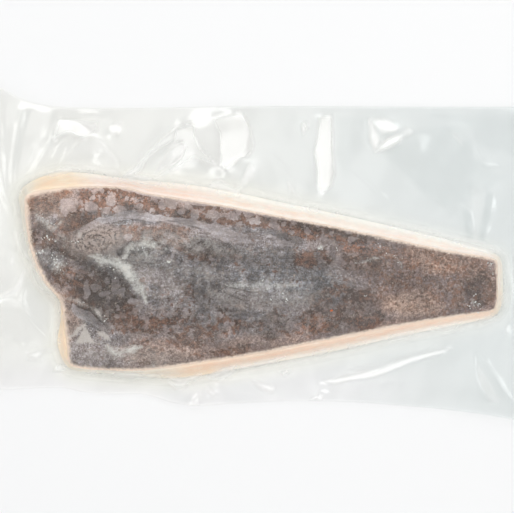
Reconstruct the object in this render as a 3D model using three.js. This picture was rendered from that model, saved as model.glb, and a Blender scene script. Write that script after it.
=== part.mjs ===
// A frozen halibut fillet, skin side up, vacuum packed in a clear pouch.
//
// The pouch is shut and hugs the fish, so pouch and fillet make one closed body: a low domed
// fillet with a cut, bevelled rim of flesh, a thin belly flap that lies one step lower at the
// head end, and the empty margin of the pouch all round it, wavy and lifted at two corners.
//
// Units are millimetres and +Z is up. +X runs from the head end to the tail, +Y from the belly
// edge to the back edge. The origin is on the table, under the middle of the pouch.
import * as THREE from "three";
import { mergeVertices } from "three/addons/utils/BufferGeometryUtils.js";

// ---- driving dimensions -------------------------------------------------------------------
const POUCH_HALF_LENGTH = 265;
const POUCH_HALF_WIDTH = 152.5;
const FILM_PAIR = 1.2; // the two films of the empty margin, with the air left between them
const MARGIN_LOW = 1.4; // middle of the margin above the table where it lies flattest
const MARGIN_AT_FISH = 2.6; // and where it leaves the foot of the fillet
const MARGIN_SETTLE = 9; // distance in which it comes down from there
const WAVE_HEIGHT = 3.2; // of the margin, reached at WAVE_REACH from the fish
const WAVE_REACH = 55;

const HEAD_X = -202;
const TAIL_X = 211;
// Thickness of the fish at five even stations from the head end to the tail.
const CROWN = [21, 26, 23, 16, 9.5]; // along its middle
const SKIN_EDGE = [14, 13, 11.5, 9, 6]; // where the skin stops at the cut rim
const DOME_REACH = [46, 54, 46, 32, 17]; // how far in from the rim the dome rises
const BASE_INSET = 4; // the foot of the rim overhangs the flat underside by this

const FLAP_DROP = 5; // the belly flap lies this much lower than the fillet beside it
const FLAP_CORNER = new THREE.Vector2(-133, -62); // inner end of the step
const FLAP_SLOPE = -0.56; // rise of the step's line over its run
const STEP_WIDTH = 5;
const STEP_FADE = 26; // the step runs out over this length past its corner

// The edge of the skin as knots of x, y and how far the cut flesh stands out beyond it.
const BACK_EDGE = [
  [-197, 51, 10], [-177, 54.5, 14], [-153, 56.5, 12.5], [-129, 56.5, 9], [-112, 55, 8.5], [-98, 51, 11],
  [-65, 45.5, 13.5], [-25, 39, 13.5], [22, 30, 12.5], [63, 22.5, 11.5], [127, 9, 10.5], [168, 0.5, 9],
  [206, -6.5, 5],
];
const TAIL_CUT = [[210, -9, 4.5], [211, -24, 5], [210.5, -43, 5], [208, -51.5, 4.5]];
const BELLY_EDGE = [
  [204, -53, 5.5], [163, -59, 8.5], [125, -65.5, 9.5], [86, -73, 11], [45, -81, 11.5], [5, -89, 10.5],
  [-39, -96, 11.5], [-72, -101, 11], [-100, -104.5, 6], [-129, -104.5, 3.5], [-154, -103, 3],
];
const HEAD_CUT = [
  [-163, -99.5, 4], [-166, -81, 9.5], [-169, -59, 3.5], [-171, -43, 2], [-184, -27, 4.5], [-193, -8, 6],
  [-197, 3.5, 5.5], [-200, 20, 5.5], [-201.5, 38, 6.5], [-201, 47, 9],
];

// The pouch's two long sides, drawn in where the film is pulled towards the fish.
const POUCH_TOP = [
  [-265, 152.5], [-246, 151.5], [-227, 144], [-209, 134], [-191, 129], [-168, 126.5], [-104, 126],
  [0, 127.5], [126, 127], [226, 127], [265, 128],
];
const POUCH_BOTTOM = [
  [265, -152.5], [226, -148], [196, -143], [161, -139], [126, -136], [82, -133], [37, -132], [-15, -134],
  [-58, -136], [-74, -133.5], [-99, -126.5], [-134, -126], [-157, -123.5], [-171, -120.5], [-214, -121.5],
  [-265, -123.5],
];

// Places where the margin stands clear of the table: x, y, height, radius.
const LIFTS = [[-262, 150, 8, 60], [262, -150, 6, 55], [-262, -70, 4, 60], [-60, -138, 3, 30]];

const ALONG = 48; // steps from head to tail
const ACROSS = 18; // steps from back to belly
const RIM_RINGS = 3;
const MARGIN_RINGS = [0.06, 0.16, 0.3, 0.48, 0.66, 0.84, 1];

const SKIN_COLOUR = new THREE.Color(0x75696a);
const FLESH_COLOUR = new THREE.Color(0xf2dac6);
const FILM_COLOUR = new THREE.Color(0xdfe5e1);

// ---- outlines -----------------------------------------------------------------------------
const curveThrough = (knots, closed) =>
  new THREE.CatmullRomCurve3(
    knots.map(([x, y, z = 0]) => new THREE.Vector3(x, y, z)),
    closed,
    "centripetal",
  );

// Points at even distances along one stretch of a curve, from one end up to but without the other.
function evenPoints(curve, from, to, count, fine = 400) {
  const pointAt = (i) => curve.getPoint(from + ((to - from) * i) / fine);
  const points = Array.from({ length: fine + 1 }, (_, i) => pointAt(i));
  const run = [0];
  for (let i = 1; i <= fine; i++) run.push(run[i - 1] + points[i].distanceTo(points[i - 1]));
  let at = 0;
  return Array.from({ length: count }, (_, k) => {
    const goal = (run[fine] * k) / count;
    while (run[at + 1] < goal) at++;
    return points[at].clone().lerp(points[at + 1], (goal - run[at]) / (run[at + 1] - run[at]));
  });
}

// The skin's edge as one ring that starts at the back of the head end and turns clockwise.
function skinRing() {
  const sides = [BACK_EDGE, TAIL_CUT, BELLY_EDGE, HEAD_CUT];
  const knots = sides.flat();
  const curve = curveThrough(knots, true);
  // The ring's four corners lie half way between the last knot of a side and the first of the
  // next. One whole turn is added, because a closed curve takes no parameter below zero.
  const corners = [-0.5];
  sides.forEach((side) => corners.push(corners.at(-1) + side.length));
  return [ALONG, ACROSS, ALONG, ACROSS].flatMap((count, i) =>
    evenPoints(curve, corners[i] / knots.length + 1, corners[i + 1] / knots.length + 1, count),
  );
}

// The pouch's edge, with as many points on each side as the skin's ring has.
function pouchRing() {
  const top = curveThrough(POUCH_TOP, false);
  const bottom = curveThrough(POUCH_BOTTOM, false);
  const end = (a, b) => new THREE.LineCurve3(new THREE.Vector3(...a, 0), new THREE.Vector3(...b, 0));
  return [
    ...evenPoints(top, 0, 1, ALONG),
    ...evenPoints(end(POUCH_TOP.at(-1), POUCH_BOTTOM[0]), 0, 1, ACROSS),
    ...evenPoints(bottom, 0, 1, ALONG),
    ...evenPoints(end(POUCH_BOTTOM.at(-1), POUCH_TOP[0]), 0, 1, ACROSS),
  ];
}

// Moves each point of a clockwise ring outwards by its own share of a distance.
function widened(ring, distanceAt) {
  return ring.map((p, i) => {
    const before = ring.at(i - 1);
    const after = ring[(i + 1) % ring.length];
    const along = new THREE.Vector2(after.x - before.x, after.y - before.y).normalize();
    const distance = distanceAt(p);
    return new THREE.Vector3(p.x - along.y * distance, p.y + along.x * distance, p.z);
  });
}

// ---- heights ------------------------------------------------------------------------------
const smoothstep = THREE.MathUtils.smoothstep;

// A value given at even stations along the fish, read at x.
function alongFish(values, x) {
  const curve = new THREE.SplineCurve(values.map((value, i) => new THREE.Vector2(i, value)));
  return curve.getPoint(THREE.MathUtils.clamp((x - HEAD_X) / (TAIL_X - HEAD_X), 0, 1)).y;
}

// 1 on the belly flap and 0 on the rest of the fillet.
function onFlap(x, y) {
  const below = FLAP_CORNER.y + FLAP_SLOPE * (x - FLAP_CORNER.x) - y;
  const left = FLAP_CORNER.x - x;
  return smoothstep(below, 0, STEP_WIDTH) * smoothstep(left, -STEP_FADE / 2, STEP_FADE / 2);
}

const skinEdgeHeight = (x, y) => alongFish(SKIN_EDGE, x) - FLAP_DROP * onFlap(x, y);

// Height of the skin at a point that lies inset from the skin's edge.
function skinHeight(x, y, inset) {
  const edge = alongFish(SKIN_EDGE, x);
  const rise = 1 - (1 - Math.min(inset / alongFish(DOME_REACH, x), 1)) ** 2;
  return edge + (alongFish(CROWN, x) - edge) * rise - FLAP_DROP * onFlap(x, y);
}

// Height of the middle of the pouch's margin at a distance from the foot of the fillet.
function marginHeight(x, y, distance) {
  const wave =
    0.5 * Math.sin(x / 19 + y / 47 + 0.6) +
    0.3 * Math.sin(x / 31 - y / 23 + 2.1) +
    0.2 * Math.sin(y / 17 - x / 90);
  let lift = 0;
  for (const [cx, cy, height, radius] of LIFTS)
    lift += height * Math.exp(-((x - cx) ** 2 + (y - cy) ** 2) / radius ** 2);
  return (
    MARGIN_LOW +
    (MARGIN_AT_FISH - MARGIN_LOW) * Math.exp(-distance / MARGIN_SETTLE) +
    WAVE_HEIGHT * (0.5 + 0.5 * wave) * smoothstep(distance, 0, WAVE_REACH) +
    lift
  );
}

function distanceToRing(p, ring) {
  const line = new THREE.Line3();
  const nearest = new THREE.Vector3();
  const flat = new THREE.Vector3(p.x, p.y, 0);
  let least = Infinity;
  ring.forEach((a, i) => {
    const b = ring[(i + 1) % ring.length];
    line.start.set(a.x, a.y, 0);
    line.end.set(b.x, b.y, 0);
    line.closestPointToPoint(flat, true, nearest);
    least = Math.min(least, nearest.distanceTo(flat));
  });
  return least;
}

// ---- surface ------------------------------------------------------------------------------
// Collects triangles, each with the colour of what shows there.
class Surface {
  positions = [];
  colours = [];

  triangle(a, b, c, colour) {
    for (const p of [a, b, c]) {
      this.positions.push(p.x, p.y, p.z);
      this.colours.push(colour.r, colour.g, colour.b);
    }
  }

  quad(a, b, c, d, colour) {
    this.triangle(a, b, c, colour);
    this.triangle(a, c, d, colour);
  }

  // A band between two clockwise rings, facing up where the second ring lies further out.
  band(inner, outer, colour) {
    inner.forEach((p, i) => {
      const next = (i + 1) % inner.length;
      this.quad(p, inner[next], outer[next], outer[i], colour);
    });
  }

  geometry() {
    const geometry = new THREE.BufferGeometry();
    geometry.setAttribute("position", new THREE.Float32BufferAttribute(this.positions, 3));
    geometry.setAttribute("color", new THREE.Float32BufferAttribute(this.colours, 3));
    const merged = mergeVertices(geometry, 1e-4);
    merged.computeVertexNormals();
    return merged;
  }
}

// The grid of points over the skin, blended from its four sides.
function skinGrid(ring) {
  const back = ring.slice(0, ALONG + 1);
  const tail = ring.slice(ALONG, ALONG + ACROSS + 1);
  const belly = ring.slice(ALONG + ACROSS, 2 * ALONG + ACROSS + 1).reverse();
  const head = [...ring.slice(2 * ALONG + ACROSS), ring[0]].reverse();
  const blend = (i, j, axis) => {
    const u = i / ALONG;
    const v = j / ACROSS;
    const lerp = THREE.MathUtils.lerp;
    const corners = lerp(
      lerp(back[0][axis], back[ALONG][axis], u),
      lerp(belly[0][axis], belly[ALONG][axis], u),
      v,
    );
    return lerp(back[i][axis], belly[i][axis], v) + lerp(head[j][axis], tail[j][axis], u) - corners;
  };
  return Array.from({ length: ALONG + 1 }, (_, i) =>
    Array.from({ length: ACROSS + 1 }, (_, j) => {
      const p = new THREE.Vector3(blend(i, j, "x"), blend(i, j, "y"), 0);
      p.z = skinHeight(p.x, p.y, distanceToRing(p, ring));
      return p;
    }),
  );
}

// The rim of cut flesh falls from the skin's edge to the foot, round at the top and hollow below.
function rimRing(ring, share) {
  return widened(ring, (p) => p.z * share).map((p) => {
    const fall = 0.5 - 0.5 * Math.cos(Math.PI * share ** 0.9);
    return p.setZ(THREE.MathUtils.lerp(skinEdgeHeight(p.x, p.y), MARGIN_AT_FISH + FILM_PAIR / 2, fall));
  });
}

function buildPack() {
  const edge = skinRing();
  const foot = widened(edge, (p) => p.z);
  const pouch = pouchRing();
  const surface = new Surface();

  const grid = skinGrid(edge);
  for (let i = 0; i < ALONG; i++)
    for (let j = 0; j < ACROSS; j++)
      surface.quad(grid[i][j], grid[i][j + 1], grid[i + 1][j + 1], grid[i + 1][j], SKIN_COLOUR);

  const lift = (p, z) => p.clone().setZ(z);
  let inner = edge.map((p) => lift(p, skinEdgeHeight(p.x, p.y)));
  for (let k = 1; k <= RIM_RINGS; k++) {
    const outer =
      k < RIM_RINGS
        ? rimRing(edge, k / RIM_RINGS)
        : foot.map((p) => lift(p, MARGIN_AT_FISH + FILM_PAIR / 2));
    surface.band(inner, outer, FLESH_COLOUR);
    inner = outer;
  }

  // The margin, top and bottom, runs from the foot to the pouch's edge.
  const middle = MARGIN_RINGS.map((share) =>
    foot.map((p, i) => {
      const q = p.clone().setZ(0).lerp(pouch[i], share);
      return q.setZ(marginHeight(q.x, q.y, q.distanceTo(lift(p, 0))));
    }),
  );
  const upper = middle.map((ring) => ring.map((p) => lift(p, p.z + FILM_PAIR / 2)));
  const lower = middle.map((ring) => ring.map((p) => lift(p, p.z - FILM_PAIR / 2)));
  for (const ring of upper) {
    surface.band(inner, ring, FILM_COLOUR);
    inner = ring;
  }
  for (const ring of lower.toReversed()) {
    surface.band(inner, ring, FILM_COLOUR);
    inner = ring;
  }
  const underFoot = foot.map((p) => lift(p, MARGIN_AT_FISH - FILM_PAIR / 2));
  surface.band(inner, underFoot, FILM_COLOUR);

  // The flat underside, which the pack lies on.
  const base = widened(foot, () => -BASE_INSET).map((p) => lift(p, 0));
  surface.band(underFoot, base, FLESH_COLOUR);
  const contour = base.map((p) => new THREE.Vector2(p.x, p.y));
  for (const [a, b, c] of THREE.ShapeUtils.triangulateShape(contour, []))
    surface.triangle(base[a], base[c], base[b], FLESH_COLOUR);
  return surface.geometry();
}

const pack = new THREE.Mesh(
  buildPack(),
  new THREE.MeshStandardMaterial({ vertexColors: true, roughness: 0.32, metalness: 0 }),
);
pack.name = "vacuum_pack";

const model = new THREE.Group();
model.add(pack);

export default model;
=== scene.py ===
"""A frozen halibut fillet, skin side up, shut in a clear vacuum pouch on a pale table.

Shapes are worked out in millimetres, in the pack's own frame: +X from the head end to the tail, +Y from
the belly edge to the back edge, +Z up. They become metres when they are written to a mesh.
"""
import math

import bpy
import numpy as np
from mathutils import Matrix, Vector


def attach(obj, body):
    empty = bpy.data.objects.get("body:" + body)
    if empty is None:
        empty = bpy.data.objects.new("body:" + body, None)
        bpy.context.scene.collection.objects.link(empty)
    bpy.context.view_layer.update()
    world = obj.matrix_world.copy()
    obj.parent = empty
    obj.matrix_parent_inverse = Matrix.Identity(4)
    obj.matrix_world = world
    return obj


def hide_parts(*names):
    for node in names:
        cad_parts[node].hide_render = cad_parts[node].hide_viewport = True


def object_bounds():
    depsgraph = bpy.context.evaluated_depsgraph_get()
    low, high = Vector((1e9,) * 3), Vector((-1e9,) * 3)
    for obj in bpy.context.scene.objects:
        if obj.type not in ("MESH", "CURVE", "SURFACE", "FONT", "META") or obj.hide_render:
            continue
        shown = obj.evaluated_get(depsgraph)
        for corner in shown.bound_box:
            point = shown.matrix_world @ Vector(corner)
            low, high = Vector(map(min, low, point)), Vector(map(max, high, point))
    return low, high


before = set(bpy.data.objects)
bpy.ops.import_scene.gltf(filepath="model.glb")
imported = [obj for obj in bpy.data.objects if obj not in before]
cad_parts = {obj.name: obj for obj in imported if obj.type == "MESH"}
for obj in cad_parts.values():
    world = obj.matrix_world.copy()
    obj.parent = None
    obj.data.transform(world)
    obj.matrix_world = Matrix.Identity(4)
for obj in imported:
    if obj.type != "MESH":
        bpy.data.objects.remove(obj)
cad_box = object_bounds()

MM = 0.001

# ---- the pouch and the fish, as in the solid ----
CAD_LENGTH = (cad_box[1][0] - cad_box[0][0]) / MM
POUCH_END = 265
FILM_PAIR = 1.2  # the two films of the empty margin, with the air left between them
# The middle of the empty margin: its least height, its height at the fish, how soon it settles, and its waves.
MARGIN_LOW = 1.4
MARGIN_AT_FISH = 2.6
MARGIN_SETTLE = 9
WAVE_HEIGHT = 3.2
WAVE_REACH = 55

# Heights of the fish at even stations from the head end to the tail, and how far in the dome reaches.
HEAD_X = -202
TAIL_X = 211
CROWN = [21, 26, 23, 16, 9.5]
SKIN_EDGE = [14, 13, 11.5, 9, 6]
DOME_REACH = [46, 54, 46, 32, 17]
BASE_INSET = 4

# The belly flap lies lower than the rest: how far, and where its corner and its step are.
FLAP_DROP = 5
FLAP_CORNER = (-133, -62)
FLAP_SLOPE = -0.56
STEP_WIDTH = 5
STEP_FADE = 26

# The edge of the skin as knots of x, y and how far the cut flesh stands out beyond it.
BACK_EDGE = [
    (-197, 51, 10), (-177, 54.5, 14), (-153, 56.5, 12.5), (-129, 56.5, 9), (-112, 55, 8.5), (-98, 51, 11),
    (-65, 45.5, 13.5), (-25, 39, 13.5), (22, 30, 12.5), (63, 22.5, 11.5), (127, 9, 10.5), (168, 0.5, 9),
    (206, -6.5, 5),
]
TAIL_CUT = [(210, -9, 4.5), (211, -24, 5), (210.5, -43, 5), (208, -51.5, 4.5)]
BELLY_EDGE = [
    (204, -53, 5.5), (163, -59, 8.5), (125, -65.5, 9.5), (86, -73, 11), (45, -81, 11.5), (5, -89, 10.5),
    (-39, -96, 11.5), (-72, -101, 11), (-100, -104.5, 6), (-129, -104.5, 3.5), (-154, -103, 3),
]
HEAD_CUT = [
    (-164.5, -99.5, 3.4), (-167.5, -81, 8.5), (-170.5, -59, 2.6), (-173, -43, 1.6), (-186, -27, 3.2), (-195, -8, 4.4),
    (-199, 3.5, 4.2), (-202, 20, 4.2), (-203.5, 38, 5.2), (-203, 47, 7.6),
]
POUCH_TOP = [
    (-265, 152.5), (-246, 151.5), (-227, 144), (-209, 134), (-191, 129), (-168, 126.5), (-104, 126), (0, 127.5),
    (126, 127), (226, 127), (265, 128),
]
POUCH_BOTTOM = [
    (265, -152.5), (226, -148), (196, -143), (161, -139), (126, -136), (82, -133), (37, -132), (-15, -134),
    (-58, -136), (-74, -133.5), (-99, -126.5), (-134, -126), (-157, -123.5), (-171, -120.5), (-214, -121.5),
    (-265, -123.5),
]
# Where the margin's corners and edge rise from the table: middle, height and reach.
LIFTS = [(-262, 150, 8, 60), (262, -150, 6, 55), (-262, -70, 4, 60), (-60, -138, 3, 30)]

# ---- how finely each piece is meshed, and small sizes in millimetres ----
FILM_GRID = (380, 200)
UNDER_FILM_GRID = (190, 100)
SKIN_GRID = (380, 118)
FLESH_GRID = (240, 64)
RIM_RINGS = 12

SKIN_THICK = 1.2
EDGE_CURL = 0.25  # how far the skin's edge bends down
CHIP_CORNERS = 12
CHIP_SEAT = 0.06  # how far a chip's middle is above the skin
RIM_DROP = 0.4  # how far below the skin's edge the cut starts
RIM_FOOT = 3.0  # height of the cut's foot
RIM_TURN = 1.2  # height at which it turns in to the underside
BASE_HEIGHT = 0.35

LATTICE = 64  # squares in the noise before it repeats
FIRST_GAIN = 1.1  # how much steeper a facet is asked for than it should turn out
FACET_STIFFNESS = 9
PLEAT_RISE = 1.2  # room under the top film for facets that dip
FOLD_RISE = 1.5
# Broad folds: turn in degrees, spacing, height and seed.
CRUMPLES = [(28, 58, 1.2, 141), (-36, 46, 0.9, 142), (82, 74, 1.1, 143), (-8, 33, 0.4, 144)]

FILM_OVER_SKIN = 0.45
FILM_OVER_FOOT = 3.2
FILM_WRINKLE = 0.12
FALL_REACH = 6  # how far past the rim's foot the film comes down
LOWEST = 0.08  # the lower film, over the table
SEAL_INSET = 10
SEAL_RIB = 1.6
WAVE_TURNS = 3.2  # bands of a Wave texture in one unit at scale 1
FILM_GLOSS = 0.06  # how much the film mirrors when it is seen square on
FILM_ROUGH = 0.19
FILM_ROUGH_ON_FISH = 0.17  # added where the film clings

BROWN_LEAST = 0.16
# Rings that ice left near the head: their relief's wave, and the dark lines' spacing and wander.
RING_MIDDLE = (-140, 9)
RING_STRETCH = 1.55
RING_WAVE = 4.4
RING_SPACING = 3.6
RING_WANDER = 17.0
# Dots of ice: their spacing and how far their borders wobble.
DOT_SPACING = 7.5
DOT_WOBBLE = 6

# ---- light ----
# Name, side, width and depth in metres, and radiance.
SOFTBOXES = [
    ("light_back", "N", (1.9, 0.55), 2.8), ("light_right", "E", (1.1, 0.5), 2.6), ("light_left", "W", (1.0, 0.4), 2.2),
    ("light_front", "S", (1.5, 0.5), 2.4),
]
STUDIO_STRENGTH = 1.135
WALL, CEILING, OVERHEAD = (0.6, 0.603, 0.606, 1), (0.4, 0.404, 0.408, 1), (0.95, 0.95, 0.95, 1)
OVERHEAD_AT = (-0.2, 0.13, 1.0)  # the way to the middle of the bright part of the ceiling

# ---- the photograph's camera ----
CAMERA_HEIGHT = 1500
CAMERA_OVER = (-0.4, -4.85)
FRAME_WIDTH = 453.3  # millimetres of table across the picture
SENSOR = 36


# ---- curves and distances ----
def smoothstep(value, low, high):
    t = np.clip((value - low) / (high - low), 0, 1)
    return t * t * (3 - 2 * t)


def curve_points(knots, closed, stations):
    """Points of a centripetal Catmull-Rom curve through the knots. A station counts knots from the first."""
    p = np.array([(*k, 0)[:3] for k in knots], float)
    count = len(p)
    points = []
    for station in stations:
        i = math.floor(station)
        f = station - i
        if closed:
            a, b, c, d = (p[(i + n) % count] for n in (-1, 0, 1, 2))
        else:
            i = min(i, count - 2)
            f = station - i
            b, c = p[i], p[i + 1]
            a = p[i - 1] if i > 0 else 2 * b - c
            d = p[i + 2] if i + 2 < count else 2 * c - b
        gap = [max(np.linalg.norm(q - r), 1e-4) ** 0.5 for q, r in ((b, a), (c, b), (d, c))]
        slope_b = ((b - a) / gap[0] - (c - a) / (gap[0] + gap[1]) + (c - b) / gap[1]) * gap[1]
        slope_c = ((c - b) / gap[1] - (d - b) / (gap[1] + gap[2]) + (d - c) / gap[2]) * gap[1]
        points.append(
            b + slope_b * f + (3 * (c - b) - 2 * slope_b - slope_c) * f**2 + (2 * (b - c) + slope_b + slope_c) * f**3
        )
    return np.array(points)


def even_points(knots, closed, first, last, count):
    """Points at even distances along a stretch of the curve, with both of its ends."""
    fine = curve_points(knots, closed, np.linspace(first, last, 500))
    run = np.concatenate([[0], np.cumsum(np.linalg.norm(np.diff(fine, axis=0), axis=1))])
    goals = np.linspace(0, run[-1], count + 1)
    return np.stack([np.interp(goals, run, fine[:, axis]) for axis in range(3)], axis=1)


def skin_sides(along, across):
    """The skin's edge as its back, tail, belly and head sides, each point with its rim's width."""
    sides = [BACK_EDGE, TAIL_CUT, BELLY_EDGE, HEAD_CUT]
    knots = [knot for side in sides for knot in side]
    made = []
    start = -0.5
    for side, count in zip(sides, (along, across, along, across)):
        made.append(even_points(knots, True, start, start + len(side), count))
        start += len(side)
    return made


def pouch_sides(along, across):
    ends = [[POUCH_TOP[-1], POUCH_BOTTOM[0]], [POUCH_BOTTOM[-1], POUCH_TOP[0]]]
    return [
        even_points(knots, False, 0, len(knots) - 1, count)
        for knots, count in zip((POUCH_TOP, ends[0], POUCH_BOTTOM, ends[1]), (along, across, along, across))
    ]


def blend_sides(sides, i, j):
    """Fills a four-sided outline: column i counts from the head, row j from the back edge."""
    back, tail, belly, head = sides
    belly, head = belly[::-1], head[::-1]
    u = (i / (len(back) - 1))[:, None]
    v = (j / (len(tail) - 1))[:, None]
    corners = (back[0] * (1 - u) + back[-1] * u) * (1 - v) + (belly[0] * (1 - u) + belly[-1] * u) * v
    return back[i] * (1 - v) + belly[i] * v + head[j] * (1 - u) + tail[j] * u - corners


def outward(ring):
    """Unit vectors that point out of a clockwise ring of points."""
    along = np.roll(ring, -1, axis=0) - np.roll(ring, 1, axis=0)
    along /= np.linalg.norm(along[:, :2], axis=1)[:, None]
    return np.stack([-along[:, 1], along[:, 0]], axis=1)


class Outline:
    """The skin's edge as a fine ring, for distances to it."""

    def __init__(self):
        self.ring = np.concatenate([side[:-1] for side in skin_sides(620, 170)])
        self.out = outward(self.ring)
        steps = np.linalg.norm(np.diff(self.ring[:, :2], axis=0, append=self.ring[:1, :2]), axis=1)
        self.run = np.concatenate([[0], np.cumsum(steps)[:-1]])

    def measure(self, x, y):
        """Distance out of the skin's edge (negative within it), rim width and place along the edge."""
        nearest = np.empty(len(x), int)
        for start in range(0, len(x), 4000):
            part = slice(start, start + 4000)
            squares = (x[part, None] - self.ring[None, :, 0]) ** 2 + (y[part, None] - self.ring[None, :, 1]) ** 2
            nearest[part] = squares.argmin(axis=1)
        dx, dy = x - self.ring[nearest, 0], y - self.ring[nearest, 1]
        across = dx * self.out[nearest, 0] + dy * self.out[nearest, 1]
        straight = np.hypot(dx, dy)
        distance = np.where(straight < 2, across, np.sign(across) * straight)
        return distance, self.ring[nearest, 2], self.run[nearest]


def line_measure(x, y, points, steps=6):
    """Distance to a smooth line of points, and how far along it, from 0 to 1, the nearest place is."""
    fine = curve_points(points, False, np.linspace(0, len(points) - 1, (len(points) - 1) * steps + 1))[:, :2]
    best = np.full(len(x), np.inf)
    share = np.zeros(len(x))
    runs = np.concatenate([[0], np.cumsum(np.linalg.norm(np.diff(fine, axis=0), axis=1))])
    for k, (a, b) in enumerate(zip(fine, fine[1:])):
        span = b - a
        t = np.clip(((x - a[0]) * span[0] + (y - a[1]) * span[1]) / max(span @ span, 1e-9), 0, 1)
        d = np.hypot(x - a[0] - t * span[0], y - a[1] - t * span[1])
        closer = d < best
        best = np.where(closer, d, best)
        share = np.where(closer, (runs[k] + t * (runs[k + 1] - runs[k])) / runs[-1], share)
    return best, share


# ---- unevenness ----
def noise(x, y, size, seed):
    """Smooth noise from -1 to 1 whose bumps are about size across."""
    lattice = np.random.RandomState(seed).uniform(-1, 1, (LATTICE, LATTICE))
    gx, gy = x / size + 1000, y / size + 1000  # the shift keeps places on the lattice positive
    i, j = np.floor(gx).astype(int), np.floor(gy).astype(int)
    fx, fy = gx - i, gy - j
    fx, fy = fx * fx * (3 - 2 * fx), fy * fy * (3 - 2 * fy)

    def corner(di, dj):
        return lattice[(i + di) % LATTICE, (j + dj) % LATTICE]

    near = corner(0, 0) * (1 - fx) + corner(1, 0) * fx
    far = corner(0, 1) * (1 - fx) + corner(1, 1) * fx
    return near * (1 - fy) + far * fy


def rough_noise(x, y, size, seed, layers=3):
    """Noise with finer noise laid over it, turned a little from layer to layer."""
    total, weight = 0, 0
    for k in range(layers):
        turn = 0.7 * k
        u, v = x * math.cos(turn) - y * math.sin(turn), x * math.sin(turn) + y * math.cos(turn)
        total = total + noise(u, v, size / 2**k, seed + 17 * k) / 2**k
        weight += 0.5**k
    return total / weight * 1.3


# ---- heights ----
def along_fish(values, x):
    """A value given at even stations from the head end to the tail, read at x."""
    last = len(values) - 1
    t = np.clip((x - HEAD_X) / (TAIL_X - HEAD_X), 0, 1) * last
    i = np.minimum(t.astype(int), last - 1)
    f = t - i
    a, b, c, d = (np.pad(np.array(values, float), 1, mode="edge")[i + n] for n in range(4))
    return 0.5 * (2 * b + (c - a) * f + (2 * a - 5 * b + 4 * c - d) * f**2 + (3 * b - a - 3 * c + d) * f**3)


def on_flap(x, y):
    below = FLAP_CORNER[1] + FLAP_SLOPE * (x - FLAP_CORNER[0]) - y
    left = FLAP_CORNER[0] - x
    return smoothstep(below, 0, STEP_WIDTH) * smoothstep(left, -STEP_FADE / 2, STEP_FADE / 2)


def edge_height(x, y):
    return along_fish(SKIN_EDGE, x) - FLAP_DROP * on_flap(x, y)


def skin_height(x, y, inset):
    edge = along_fish(SKIN_EDGE, x)
    rise = 1 - (1 - np.clip(inset / along_fish(DOME_REACH, x), 0, 1)) ** 2
    return edge + (along_fish(CROWN, x) - edge) * rise - FLAP_DROP * on_flap(x, y)


def margin_height(x, y, beyond_foot):
    """Height of the middle of the pouch's empty margin, without its pleats."""
    wave = (
        0.5 * np.sin(x / 19 + y / 47 + 0.6)
        + 0.3 * np.sin(x / 31 - y / 23 + 2.1)
        + 0.2 * np.sin(y / 17 - x / 90)
    )
    lift = sum(h * np.exp(-((x - cx) ** 2 + (y - cy) ** 2) / r**2) for cx, cy, h, r in LIFTS)
    beyond = np.maximum(beyond_foot, 0)
    return (
        MARGIN_LOW
        + (MARGIN_AT_FISH - MARGIN_LOW) * np.exp(-beyond / MARGIN_SETTLE)
        + WAVE_HEIGHT * (0.5 + 0.5 * wave) * smoothstep(beyond, 0, WAVE_REACH)
        + lift
    )


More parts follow.
